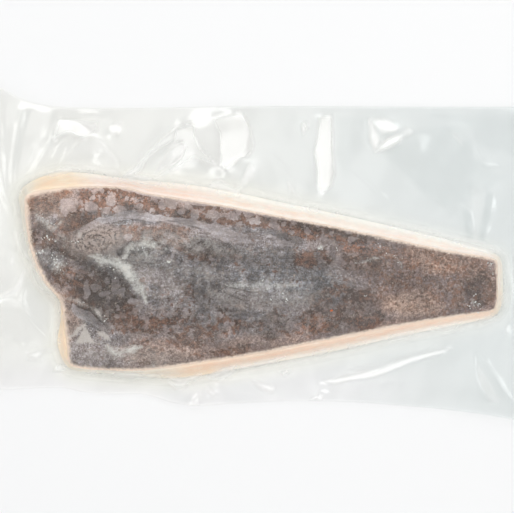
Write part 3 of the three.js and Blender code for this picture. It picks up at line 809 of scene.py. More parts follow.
LIT = [
    (0.85, -136, -78, 36, 13), (0.8, -54, -80, 46, 12, 8), (0.7, 34, -72, 20, 8, 8), (0.7, 90, -52, 14, 10),
    (0.75, -92, -42, 14, 20), (0.6, -50, -63, 18, 9), (0.7, 100, -5, 34, 13, -10), (0.5, -22, -19, 12, 8),
    (0.6, -97, 17, 42, 9, -4), (1.0, -140, 51, 40, 11), (0.7, -168, -56, 12, 24), (0.7, -168, 33, 26, 18),
    (0.6, -192, 43, 14, 14), (0.4, -140, 44, 12, 6), (0.95, -99, 24, 17, 8), (0.6, -141, 14, 15, 8),
    (0.75, -78, -8, 9, 9), (1.0, -77, -41, 14, 9), (0.8, -63, -47, 10, 7), (0.7, -50, -75, 20, 9, 8),
    (0.5, 90, -14, 8, 22), (0.45, 135, -17, 11, 13), (0.4, 6, -15, 10, 8), (0.4, 150, -12, 10, 6),
    (0.4, 112, -42, 12, 10), (0.5, -192, 34, 15, 26), (0.4, -98, 27, 20, 8, -5), (0.5, -80, 16, 28, 8, -8),
    (0.45, -74, -6, 15, 11), (0.7, -164, -10, 13, 9), (0.4, -64, -38, 11, 8), (0.5, -149, -46, 10, 8, -30),
    (0.45, 203, -40, 9, 14), (0.4, -192, -1, 10, 9),
]
COOL = [
    (0.7, -138, -38, 15, 16), (0.85, -118, 29, 42, 5), (0.8, -60, 23, 30, 5, -14), (1.0, -150, -57, 22, 7, -33),
    (0.85, -90, -20, 66, 34), (0.85, -10, -6, 70, 30, -8), (0.8, -20, -50, 70, 18, 4), (0.5, -40, -80, 70, 16, 8),
    (0.5, -40, 22, 50, 8, -10), (0.6, -142, 12, 18, 10), (1.0, 22, -28, 62, 22, -6), (0.9, -92, -14, 34, 20, -12),
    (0.7, -52, -30, 36, 16, -12), (0.7, -120, -14, 26, 10, -35), (0.7, -180, -6, 12, 10), (0.5, -30, -58, 50, 14),
    (0.6, -148, -56, 18, 8, -25), (0.6, -182, 27, 12, 7, -20), (0.7, -146, -84, 40, 26), (0.4, -164, -72, 12, 14),
]
TAN = [
    (0.5, -140, 8, 26, 9, 10), (0.9, 134, -46, 28, 13), (0.9, 158, -8, 30, 12, -10), (0.6, 190, -12, 18, 14),
    (0.6, -78, -88, 40, 12, 4), (0.5, -10, -84, 60, 9, 9), (0.6, 110, -66, 30, 6, 8), (0.6, -168, -58, 13, 20),
    (0.9, -186, 45, 26, 14), (0.5, 205, -30, 8, 24),
]
PALE = [
    (0.5, -177, 40, 21, 13), (0.5, -140, 9, 24, 10, 10), (0.6, -50, 15, 26, 6, -14), (0.5, -6, 9, 26, 7, -12),
    (0.45, 52, 6, 12, 5, -10), (0.5, -84, -24, 26, 8, -22), (0.4, 12, -44, 44, 10, -5), (0.5, 134, -46, 26, 12),
    (0.4, 158, -10, 26, 11, -10), (0.45, -90, -92, 46, 9, 2), (0.5, -152, -94, 26, 12), (0.4, -106, 20, 34, 5, 4),
]


# Frost, ice and painted glints of film folds that were placed one by one: spots as above, and strength, half
# width (or border) and points of the lines and outlines.
FROST_SPOTS = [
    (0.78, -173.6, -11.4, 10, 8, -30), (0.7, -188, 0, 10, 7), (0.52, -172, 10, 16, 8, -20), (0.6, -156, 10, 5, 8),
    (0.64, -90, 4, 17, 8), (0.62, -98, -4, 15, 6, -20), (0.6, -92, -100, 24, 3), (0.5, -52, -2, 20, 5, 20),
    (0.6, 205, -13, 3, 6), (0.58, 188, -46, 9, 4), (0.54, 20, -40, 20, 7), (0.42, -175, 12, 24, 22),
]
FROST_DABS = [(0.8, -76.1, -9.6, 4.4, 2), (0.9, 55, 2.4, 3, 2)]
FROST_LINES = [
    (0.7, 4, [(-193, 32), (-186, 26), (-178, 19), (-171, 26)]),
    (0.85, 4.4, [(-130.3, -83.6), (-121.6, -90), (-114, -87.9), (-102, -83.6)]),
    (0.66, 4.6, [(-27, -29.4), (3.9, -29.6), (34, -31)]),
    (0.56, 2.4, [(86, -10.5), (99.6, -7.9), (112, -4), (119.7, -5.3), (125.7, -10.5), (127, -18)]),
]
ICE_SHEETS = [(0.8, -165, 39, 10, 10), (0.85, -28, 14, 28, 4.5, -18), (0.8, 20, 9, 16, 4, -12), (0.6, -177, 31, 8, 5)]
FLAP_ICE = [
    (-162, -45), (-144.5, -53.5), (-137, -61), (-130.5, -68), (-138, -69), (-146.5, -62.5), (-157.5, -58), (-163, -51),
]
FOLD_GLINT_LINES = [
    (0.85, 2.3, [(-168.2, -78.1), (-160, -71.5), (-149.8, -64)]),
    (0.6, 1.2, [(-150.6, -63.5), (-146, -69), (-141.5, -74.5)]),
]
FOLD_GLINT_FIELDS = [
    (0.85, 1.6, [(-140.5, -69), (-134.6, -69.5), (-124.4, -78.1), (-133.6, -78.6)]),
    (0.9, 1.4, [(-159.5, -81), (-151.5, -65), (-140.5, -80.6)]),
]
ISLANDS = [
    (0.7, -60, 0, 40, 12, -10), (0.7, -60, -62, 70, 16), (0.4, -118, -40, 18, 22, -25), (0.7, -186, 5, 18, 14),
    (0.5, 50, -62, 50, 12, 8), (0.5, 70, -6, 40, 12, -12), (0.6, -160, -24, 20, 12, -25),
]
HAZES = [
    (0.9, -70, 10, 56, 8, -10), (0.8, -100, 14, 24, 8), (0.6, -118, -6, 24, 9, -34), (0.7, -20, -40, 34, 9, -28),
    (0.8, 14, -38, 40, 10, -5), (0.7, -84, -22, 26, 12, -20), (0.6, -115, -92, 40, 10), (0.5, -180, 30, 16, 20),
    (0.7, -100, -2, 22, 12), (0.6, -40, -20, 30, 7, -8), (0.8, -152, -86, 28, 12),
]
LATERAL_LINE = [(-28.3, -27.5), (-2.2, -25.7), (41.3, -25.7), (106.6, -27), (205, -28)]


def value_at(x, table):
    """The value at x from pairs of x and value."""
    return np.interp(x, *zip(*table))


def laid(x, y, table, kind):
    """The most of a table's spots at each place. kind is blob or patch."""
    return most(*(share * kind(x, y, (px, py), (rx, ry), *turn) for share, px, py, rx, ry, *turn in table))


def drawn(x, y, table, kind):
    """The most of a table's lines or outlines at each place. kind is stroke or fill."""
    return most(*(share * kind(x, y, points, width) for share, width, points in table))


def skin_masks(x, y, inset):
    """What lies where on the skin, each as a share from 0 to 1."""
    wx = x + 3.2 * rough_noise(x, y, 11, 31) + 1.1 * noise(x, y, 3.4, 32)
    wy = y + 3.2 * rough_noise(x, y, 11, 41) + 1.1 * noise(x, y, 3.4, 42)
    sx, sy = x + 1.2 * noise(x, y, 6, 51) + 0.5 * noise(x, y, 2.5, 53), y + 1.2 * noise(x, y, 6, 52)
    back = (y > -20).astype(float)

    strip_width = value_at(x, STRIP_WIDTH)
    strip = 1 - smoothstep(inset + 3 * noise(x, y, 16, 61), strip_width - 3, strip_width + 3)
    strip = strip * back * smoothstep(x, -160, -153) * (1 - smoothstep(x, 92, 112))
    border = 1 - smoothstep(inset + 2 * noise(x, y, 9, 65), 1, 6)
    border = border * (1 - smoothstep(x, -150, -125))
    brown = most(0.9 * strip, laid(wx, wy, BROWN, patch), np.full(len(x), BROWN_LEAST)) * (1 - 0.6 * border)
    # A painted shadow just below the flap's step, where the step shades the flap; it is part of the dark mask.
    step_shadow = stroke(sx, sy, [(px + 1.4, py - 3.4) for px, py in STEP_EDGE[1:]], 2.6)
    dark = most(laid(wx, wy, SHADED, patch), smoothstep(step_shadow, 0.2, 0.8))
    cool, tan, pale, rusty, lit = (laid(wx, wy, table, patch) for table in (COOL, TAN, PALE, RUSTY, LIT))

    plain_edge = 1 - smoothstep(inset + 1.6 * noise(x, y, 14, 63) + 1.0 * noise(x, y, 5, 64), 0.8, 4.6)
    plain_edge = plain_edge * back * smoothstep(x, -126, -112) * (1 - smoothstep(x, 30, 60))
    pale = most(pale, 0.8 * border, 0.8 * plain_edge)
    ice = most(
        plain_edge,
        laid(sx, sy, ICE_SPOTS, blob),
        laid(wx, wy, ICE_SHEETS, blob),
        stroke(sx, sy, ARC_BAND, 3.1),
        0.9 * fill(sx, sy, FLAP_ICE, 2),
    )
    dots = most(0.5 * strip, 0.25 * patch(wx, wy, (-128, -38), (24, 18), -25))
    frost_band = 0.9 + 0.25 * noise(x, y, 8, 72) - 0.14 * smoothstep(x, -112, -98)
    frost = most(
        (0.84 + 0.2 * noise(x, y, 7, 71)) * stroke(sx, sy, FROST_ARC, 6.4),
        frost_band * stroke(sx, sy, FROST_BAND, 6.6),
        laid(wx, wy, FROST_SPOTS, blob),
        laid(sx, sy, FROST_DABS, blob),
        drawn(sx, sy, FROST_LINES, stroke),
    )
    # The crease mask is painted highlight: the lit step edge of the flap, and glints of film folds on the flap.
    crease = most(
        (0.64 + 0.2 * noise(x, y, 6, 73)) * stroke(sx, sy, STEP_EDGE, 3.0),
        drawn(sx, sy, FOLD_GLINT_LINES, stroke),
        drawn(sx, sy, FOLD_GLINT_FIELDS, fill),
    )
    lateral = stroke(x, y, LATERAL_LINE, 0.9) * (np.sin(x * 1.9) > -0.2) * (1 - 0.25 * smoothstep(x, 45, 90))
    cracks = most(0.85 * lateral, *(stroke(x, y, line, 0.75) for line in CRACKS))
    fade = np.where(back > 0, value_at(x, BACK_FADE), value_at(x, BELLY_FADE))
    return dict(
        brown=brown, rusty=rusty, dark=dark, lit=lit, cool=cool, tan=tan, pale=pale, ice=ice, dots=dots,
        islands=most(0.75 * strip, laid(wx, wy, ISLANDS, patch)),
        haze=most(laid(wx, wy, HAZES, patch), 0.5 * on_flap(x, y)),
        frost=frost, crease=crease, rings=patch(x, y, RING_MIDDLE, (24, 12), 8), coarse=smoothstep(x, 60, 120),
        cracks=cracks, fringe=np.clip(inset / fade, 0, 1), fleck=blob(x, y, (64.5, -52), (1.3, 0.9), 10),
    )


def skin_relief(x, y, masks):
    """The skin's low relief, from what lies on it."""
    ring = np.hypot((x - RING_MIDDLE[0]) / RING_STRETCH, y - RING_MIDDLE[1])
    return (
        0.2 * smoothstep(masks["ice"], 0.4, 0.6)
        + 0.5 * smoothstep(masks["frost"], 0.35, 0.8)
        + 0.12 * np.sin(ring * 2 * math.pi / RING_WAVE) * masks["rings"]
        - 0.4 * smoothstep(masks["cracks"], 0.4, 0.9)
        + 0.22 * rough_noise(x, y, 6, 91, 2)
        + 0.6 * noise(x, y, 42, 92)
    )


def skin_surface(x, y, inset, masks):
    """Height of the skin with its relief, which fades out at the skin's edge."""
    return skin_height(x, y, inset) + skin_relief(x, y, masks) * smoothstep(inset, 0, 3)


def make_skin(outline):
    columns, rows = SKIN_GRID
    piece, i, j = grid_piece("fillet_skin", columns, rows)
    x, y, _ = blend_sides(skin_sides(columns, rows), i, j).T
    distance, _, _ = outline.measure(x, y)
    inset = np.maximum(-distance, 0)
    masks = skin_masks(x, y, inset)
    ragged = (0.25 * noise(x, y, 7, 101) + 0.25 * noise(x, y, 2.4, 102)) * (1 - smoothstep(inset, 0, 4))
    curl = EDGE_CURL * (1 - smoothstep(inset, 0, 2.5))
    shape(piece, x + ragged * 0.6, y + ragged, skin_surface(x, y, inset, masks) - curl)
    for name, values in masks.items():
        give(piece, name, values)
    select_only(piece)
    solidify = piece.modifiers.new("thickness", "SOLIDIFY")
    solidify.thickness = SKIN_THICK * MM
    solidify.offset = -1
    bpy.ops.object.modifier_apply(modifier=solidify.name)
    smooth(piece)
    return piece


# Chips of ice: middle of a group, its reach and how many chips it has.
CRYSTALS = [
    (-186.7, 11.2, 0.9, 3), (-180.6, 10.4, 0.9, 3), (-176.7, 8.6, 0.9, 3), (-184, 12.4, 0.8, 2),
    (-130.1, -58.4, 1.1, 4), (54.4, 1.7, 1.2, 5), (69.2, 2.5, 0.8, 2), (94.4, -38.4, 0.8, 2), (106.6, 5.2, 1.2, 2),
    (113.6, -0.9, 1.2, 1), (119.7, -4.4, 1.2, 2), (125, -10, 1.4, 1), (-173.6, -11.4, 3.4, 11), (-176, -5, 2.0, 3),
    (-189.3, -0.9, 2.4, 5), (-188.4, 27.8, 2.6, 3), (-179.7, 22.6, 2.2, 2), (-158.8, 8.6, 2.2, 3),
    (204.7, -11.4, 1.6, 5), (207.3, -21.1, 1.6, 3), (190.7, -44.7, 2.6, 7), (184.5, -47.4, 2.2, 5),
    (193.3, -50.9, 1.8, 4), (-101, 4.5, 4.0, 6), (-104, -30, 3.6, 6), (-120, -15, 4.0, 5), (12, -31, 7.0, 8),
    (26, -40, 6.0, 5), (-88, 6, 4.0, 4), (-76, -9.6, 1.6, 3), (-124, -88, 3.0, 3), (-150, -46, 3.0, 3),
]


def add_chip():
    bpy.ops.mesh.primitive_ico_sphere_add(subdivisions=1, radius=MM)


def make_crystals(outline):
    chance = np.random.default_rng(17)
    x, y = np.concatenate([chance.normal((cx, cy), reach, (count, 2)) for cx, cy, reach, count in CRYSTALS]).T
    count = len(x)
    size = np.column_stack([chance.uniform(0.45, 1.3, count), chance.uniform(0.22, 0.55, count), np.full(count, 0.3)])
    turn = chance.uniform(0, math.pi, count)
    distance, _, _ = outline.measure(x, y)
    inset = np.maximum(-distance, 0)
    z = skin_surface(x, y, inset, skin_masks(x, y, inset)) + CHIP_SEAT
    bpy.ops.object.select_all(action="DESELECT")
    add_chip()
    piece = bpy.context.object
    piece.name = "frost_crystals"
    in_edit_mode(piece, *[add_chip] * (count - 1))
    corners = places(piece).reshape(count, CHIP_CORNERS, 3) * size[:, None, :]
    corners = corners * chance.uniform(0.7, 1.15, (count, CHIP_CORNERS, 3))
    c, s = np.cos(turn)[:, None], np.sin(turn)[:, None]
    shape(
        piece,
        (corners[:, :, 0] * c - corners[:, :, 1] * s + x[:, None]).ravel(),
        (corners[:, :, 0] * s + corners[:, :, 1] * c + y[:, None]).ravel(),
        (corners[:, :, 2] + z[:, None]).ravel(),
    )
    return piece


# ---- the flesh ----
def rim_profile(share):
    """How much of the rim's fall is done at a share of its width."""
    return 0.5 - 0.5 * np.cos(math.pi * share**0.9)


def make_flesh(outline):
    """A body of flesh: the side under the skin, the cut rim, ring by ring, and the flat underside."""
    columns, rows = FLESH_GRID
    sides = skin_sides(columns, rows)
    flesh, i, j = grid_piece("fillet_flesh", columns, rows)
    x, y, _ = blend_sides(sides, i, j).T
    distance, _, _ = outline.measure(x, y)
    shape(flesh, x, y, skin_height(x, y, np.maximum(-distance, 0)) - SKIN_THICK * 0.7)

    # Each vertex of the border keeps its place on the ring, so that each new ring finds its own.
    ring = np.concatenate([side[:-1] for side in sides])
    out = outward(ring)
    on_ring = (i == 0) | (i == columns) | (j == 0) | (j == rows)
    nearest = ((x[:, None] - ring[None, :, 0]) ** 2 + (y[:, None] - ring[None, :, 1]) ** 2).argmin(axis=1)
    give(flesh, "place", np.where(on_ring, nearest, -1))
    give(flesh, "share", np.where(on_ring, 0.0, -1.0))
    steps = np.linalg.norm(np.diff(ring[:, :2], axis=0, append=ring[:1, :2]), axis=1)
    run = np.concatenate([[0], np.cumsum(steps)[:-1]])
    for step in range(1, RIM_RINGS + 3):
        in_edit_mode(flesh, select_border, bpy.ops.mesh.extrude_region_move)
        chosen = np.empty(len(flesh.data.vertices), bool)
        flesh.data.vertices.foreach_get("select", chosen)
        near = np.rint(given(flesh, "place")[chosen]).astype(int)
        edge_x, edge_y, rim = ring[near].T
        share = min(step / RIM_RINGS, 1)
        flake = 0.5 * noise(run[near], np.full(len(near), 9 * share), 7, 111)
        flake += 0.35 * noise(run[near], np.full(len(near), 30 * share), 2.6, 112)
        flake *= math.sin(math.pi * share)
        across = share * rim + 0.8 * flake
        top = edge_height(edge_x, edge_y) - RIM_DROP
        z = top + (RIM_FOOT - top) * rim_profile(share) + 0.4 * flake
        if step > RIM_RINGS:  # straight down from the foot
            z = np.full(len(near), RIM_TURN)
        if step > RIM_RINGS + 1:  # and in, to the underside
            across, z, share = rim - BASE_INSET, np.full(len(near), BASE_HEIGHT), 1.2
        spots = places(flesh)
        spots[chosen] = np.column_stack([edge_x + out[near, 0] * across, edge_y + out[near, 1] * across, z])
        shape(flesh, *spots.T)
        shares = given(flesh, "share")
        shares[chosen] = share
        give(flesh, "share", shares)

    base, i, j = grid_piece("underside", columns, rows)
    base_ring = np.column_stack([ring[:, :2] + out * (ring[:, 2:] - BASE_INSET), ring[:, 2]])
    a, b, c = columns, columns + rows, 2 * columns + rows
    closed = np.vstack([base_ring, base_ring[:1]])
    x, y, _ = blend_sides([closed[: a + 1], closed[a : b + 1], closed[b : c + 1], closed[c:]], i, j).T
    shape(base, x, y, np.full(len(x), BASE_HEIGHT))
    give(base, "share", np.full(len(x), 1.4))
    give(base, "place", np.full(len(x), -1))
    join(flesh, base)
    in_edit_mode(
        flesh, select_everything, lambda: bpy.ops.mesh.remove_doubles(threshold=0.02 * MM), turn_faces_out
    )
    x, y, _ = places(flesh).T
    _, _, around = outline.measure(x, y)
    orange = most(
        patch(x, y, (-185, 55), (34, 22)),
        1.3 * patch(x, y, (-172, -80), (26, 40)),
        patch(x, y, (-65, -108), (34, 14)),
        0.3 * patch(x, y, (-205, 10), (16, 40)),
        0.5 * patch(x, y, (205, -50), (30, 16)),
    )
    give(flesh, "run", around)
    give(flesh, "orange", orange)
    give(flesh, "frosted", most(patch(x, y, (-125, -107), (56, 14)), patch(x, y, (-209, 22), (16, 60))))
    give(flesh, "pink", patch(x, y, (-95, 56), (60, 22)) * (1 - orange))
    give(flesh, "belly", (1 - smoothstep(y, -60, -30)) * smoothstep(x, -110, -60))
    smooth(flesh)
    return flesh


# ---- the film ----
def upper_film_height(x, y, distance, width, pleats):
    """Height of the top film: on the skin, down the rim, and over the empty margin."""
    inset = np.maximum(-distance, 0)
    hugging = skin_surface(x, y, inset, skin_masks(x, y, inset)) + FILM_OVER_SKIN
    hugging = hugging + FILM_WRINKLE * np.abs(rough_noise(x, y, 15, 121, 2))
    beyond = distance - width
    edge = edge_height(x, y) + FILM_OVER_SKIN
    margin = margin_height(x, y, beyond) + FILM_PAIR / 2
    fall = np.clip(distance / (width + FALL_REACH), 0, 1)
    slope = 0.5 + 0.5 * np.cos(math.pi * fall**0.9)
    down = margin + (edge - margin) * slope + pleat_height(x, y, beyond, pleats)
    # The film stays above the rim, and farther out above the lower film.
    down_rim = 1 - rim_profile(np.clip(distance / np.maximum(width, 1), 0, 1))
    over_rim = FILM_OVER_FOOT + (edge - RIM_DROP - FILM_OVER_FOOT) * down_rim + 0.1
    low = FILM_PAIR + 0.25
    floor = np.where(distance < width, over_rim, low + (FILM_OVER_FOOT + 0.1 - low) * (1 - smoothstep(beyond, 0, 12)))
    down = 0.5 * (down + floor + np.sqrt((down - floor) ** 2 + 1.4))
    return np.where(distance <= 0, hugging, down)


def lower_film_height(x, y, distance, width, pleats):
    beyond = distance - width
    margin = margin_height(x, y, beyond) - FILM_PAIR / 2 + pleat_height(x, y, beyond, pleats)
    return np.maximum(LOWEST + (margin - LOWEST) * smoothstep(beyond, -BASE_INSET, 3), LOWEST)


def film_sheet(name, grid, height, outline, pleats):
    """One of the pouch's two films. height gives how high it lies."""
    sheet, i, j = grid_piece(name, *grid)
    x, y, _ = blend_sides(pouch_sides(*grid), i, j).T
    distance, width, _ = outline.measure(x, y)
    shape(sheet, x, y, height(x, y, distance, width, pleats))
    return sheet


def make_film(outline):
    pleats = Pleats(outline)
    film = film_sheet("pouch_film", FILM_GRID, upper_film_height, outline, pleats)
    join(film, film_sheet("under_film", UNDER_FILM_GRID, lower_film_height, outline, pleats))
    in_edit_mode(film, select_border, bpy.ops.mesh.bridge_edge_loops, select_everything, turn_faces_out)

    x, y, _ = places(film).T
    distance, width, _ = outline.measure(x, y)
    beyond = distance - width
    give(film, "seal", 1 - smoothstep(np.abs(CAD_LENGTH / 2 - np.abs(x) - SEAL_INSET), 3.5, 4.5))
    give(film, "cling", 1 - smoothstep(beyond, 3, 12))
    foot = np.abs(distance - width * 0.95 - 1.2 * noise(x, y, 14, 131))
    give(film, "crease", (1 - smoothstep(foot, 1, 8)) * (distance > 0))
    give(film, "near", (1 - smoothstep(beyond, 3, 18)) * (1 - 0.7 * smoothstep(x, -60, 160)))
    wx, wy = x + 0.8 * noise(x, y, 9, 132), y + 0.8 * noise(x, y, 9, 133)
    # Painted sheen where the facets glint, and painted darker reflection where the film shows a dim part of the room.
    tones = [(tone, fill(wx, wy, points, 1.9)) for _, _, tone, points in FACETS]
    give(film, "clearer", most(*(tone * spot for tone, spot in tones if tone > 0)))
    give(film, "duller", most(*(-tone * spot for tone, spot in tones if tone < 0)) * (distance > width))
    smooth(film)
    return film


# ---- materials ----
def srgb(red, green, blue):
    """A colour as Blender's linear values, from 0 to 255 as a screen shows it."""
    return tuple((c / 255) ** 2.2 for c in (red, green, blue)) + (1.0,)


GREY_LOW, GREY_HIGH = srgb(112, 101, 101), srgb(144, 131, 129)
TAN_LOW, TAN_HIGH = srgb(130, 103, 91), srgb(176, 144, 127)
BLUE_LOW, BLUE_HIGH = srgb(92, 92, 94), srgb(140, 140, 142)
BROWN_MID, BROWN_DARK, RUST = srgb(116, 84, 67), srgb(72, 53, 44), srgb(138, 93, 69)
LILAC_LOW, LILAC_HIGH, PINK_PALE = srgb(143, 129, 129), srgb(176, 162, 160), srgb(196, 180, 168)
ICE_PALE, ICE_COOL = srgb(196, 180, 179), srgb(162, 157, 158)
RING_GROUND, RING_LINE = srgb(184, 169, 163), srgb(58, 48, 46)
HAZE, FROST, FLECK = srgb(182, 179, 178), srgb(214, 213, 210), srgb(196, 92, 30)
# FOLD_HIGHLIGHT is the colour of painted highlights: the flap's lit step edge and glints of film folds.
SHADE, CRACK, TORN_EDGE, FOLD_HIGHLIGHT = srgb(172, 168, 166), srgb(46, 38, 35), srgb(242, 220, 204), srgb(200, 193, 189)
DARK_GRAIN, LIGHT_GRAIN = (0.62, 0.56, 0.52, 1), (1.36, 1.38, 1.40, 1)
LIFT, COOLING = (1.45, 1.45, 1.45, 1), (0.94, 0.99, 1.06, 1)

FLESH_AT_SKIN, FLESH_AT_FOOT = srgb(249, 236, 227), srgb(252, 247, 240)
FLESH_PINK, FLESH_ORANGE, FLESH_BELLY = srgb(250, 226, 217), srgb(248, 220, 188), srgb(243, 212, 189)
FLESH_PEACH, FLESH_STREAK = srgb(246, 206, 184), srgb(253, 247, 240)
FLESH_TAIL, FLESH_FROSTED, FLAKE_LINE = srgb(222, 210, 192), srgb(236, 232, 222), srgb(226, 196, 172)
CHIP_ICE = srgb(222, 224, 223)

# The tint at the tail end is darker: painted shade, for the darker reflection the film shows towards the tail.
FILM_AT_HEAD, FILM_AT_TAIL = srgb(253.5, 253.5, 252.3), srgb(249.8, 251.2, 251)
# FILM_DARK_REFLECTION is the colour of the painted darker reflections on the film.
FILM_BELOW, FILM_BY_FISH, FILM_DARK_REFLECTION = srgb(255, 254.6, 255), srgb(253, 253, 250.6), srgb(247, 248, 248)
MILK_LOW, MILK_HIGH = srgb(244, 244, 240), srgb(248, 247, 243)
TABLE_LOW, TABLE_HIGH = srgb(238, 238, 238), srgb(239, 239, 239)


def natural_grain():
    """The node group for all grain: cloudy values and colours at a size in millimetres."""
    if "natural_grain" in bpy.data.node_groups:
        return bpy.data.node_groups["natural_grain"]
    group = bpy.data.node_groups.new("natural_grain", "ShaderNodeTree")
    for name, kind in (("Place", "Vector"), ("Size", "Float"), ("Detail", "Float"), ("Roughness", "Float")):
        group.interface.new_socket(name, in_out="INPUT", socket_type="NodeSocket" + kind)
    for name, kind in (("Value", "Float"), ("Colour", "Color")):
        group.interface.new_socket(name, in_out="OUTPUT", socket_type="NodeSocket" + kind)
    n = Nodes(group)
    given_values = n.add("NodeGroupInput").outputs
    clouds = n.add("ShaderNodeTexNoise", {
        "Vector": given_values["Place"], "Scale": n.math("DIVIDE", 1 / MM, given_values["Size"]),
        "Detail": given_values["Detail"], "Roughness": given_values["Roughness"],
    })
    n.add("NodeGroupOutput", {"Value": clouds.outputs["Fac"], "Colour": clouds.outputs["Color"]})
    return group


class Nodes:
    """Short names for building a node tree."""

    def __init__(self, tree):
        self.tree = tree

    def add(self, kind, sockets=None, **settings):
        """A node with its settings, and values or links on its inputs."""
        node = self.tree.nodes.new(kind)
        for key, value in settings.items():
            setattr(node, key, value)
        for key, value in (sockets or {}).items():
            if hasattr(value, "node"):
                self.tree.links.new(value, node.inputs[key])
            else:
                node.inputs[key].default_value = value
        return node

    def place(self):
        return self.add("ShaderNodeTexCoord").outputs["Object"]

    def axes(self, vector):
        return self.add("ShaderNodeSeparateXYZ", {0: vector}).outputs

    def masks(self, names):
        """The values that give stored on the piece."""
        return [self.add("ShaderNodeAttribute", attribute_name=name).outputs["Fac"] for name in names.split()]

    def math(self, operation, a, b=0.0):
        return self.add("ShaderNodeMath", {0: a, 1: b}, operation=operation).outputs[0]

    def plus(self, a, b):
        return self.math("ADD", a, b)

    def minus(self, a, b):
        return self.math("SUBTRACT", a, b)

    def times(self, a, b):
        return self.math("MULTIPLY", a, b)

    def blend(self, *parts):
        """A sum of values, each with its weight."""
        total = self.times(*parts[0])
        for part in parts[1:]:
            total = self.plus(total, self.times(*part))
        return total

    def ragged(self, mask, grain, amount):
        """A mask that gets ragged borders from a grain, once it is cut at a value."""
        return self.plus(mask, self.times(self.minus(grain, 0.5), amount))

    def mix_value(self, factor, a, b):
        return self.add("ShaderNodeMix", {"Factor": factor, "A": a, "B": b}, data_type="FLOAT").outputs["Result"]

    def mix(self, factor, a, b, blend_type="MIX"):
        sockets = {"Factor": factor, "A": a, "B": b}
        return self.add("ShaderNodeMix", sockets, data_type="RGBA", blend_type=blend_type).outputs["Result"]

    def tinted(self, colour, amount, by):
        """A colour that is multiplied by another where amount is 1."""
        return self.mix(amount, colour, self.mix(1.0, colour, by, "MULTIPLY"))

    def vary(self, colour, value, amount):
        """Browner and darker where value is 0, greyer and lighter where it is 1."""
        return self.tinted(colour, amount, self.mix(value, DARK_GRAIN, LIGHT_GRAIN))

    def spread(self, value, low, high, out_low=0.0, out_high=1.0):
        sockets = {"Value": value, "From Min": low, "From Max": high, "To Min": out_low, "To Max": out_high}
        return self.add("ShaderNodeMapRange", sockets, interpolation_type="SMOOTHSTEP").outputs["Result"]

    def grain(self, vector, size_mm, detail=3.0, rough=0.6, output="Value"):
        sockets = {"Place": vector, "Size": size_mm, "Detail": detail, "Roughness": rough}
        return self.add("ShaderNodeGroup", sockets, node_tree=natural_grain()).outputs[output]

    def bands(self, vector, sockets):
        wave = {"wave_type": "BANDS", "bands_direction": "X", "wave_profile": "SIN"}
        return self.add("ShaderNodeTexWave", {"Vector": vector, **sockets}, **wave).outputs["Fac"]

    def bump(self, height, distance_mm, strength=1.0):
        sockets = {"Distance": distance_mm * MM, "Strength": strength, "Height": height}
        return self.add("ShaderNodeBump", sockets).outputs["Normal"]

    def shader(self, kind, sockets):
        return self.add("ShaderNode" + kind, sockets).outputs[0]

    def finish(self, surface, kind="Material"):
        self.add("ShaderNodeOutput" + kind, {"Surface": surface})


def new_material(name):
    material = bpy.data.materials.new(name)
    material.use_nodes = True
    material.node_tree.nodes.clear()
    return material, Nodes(material.node_tree)


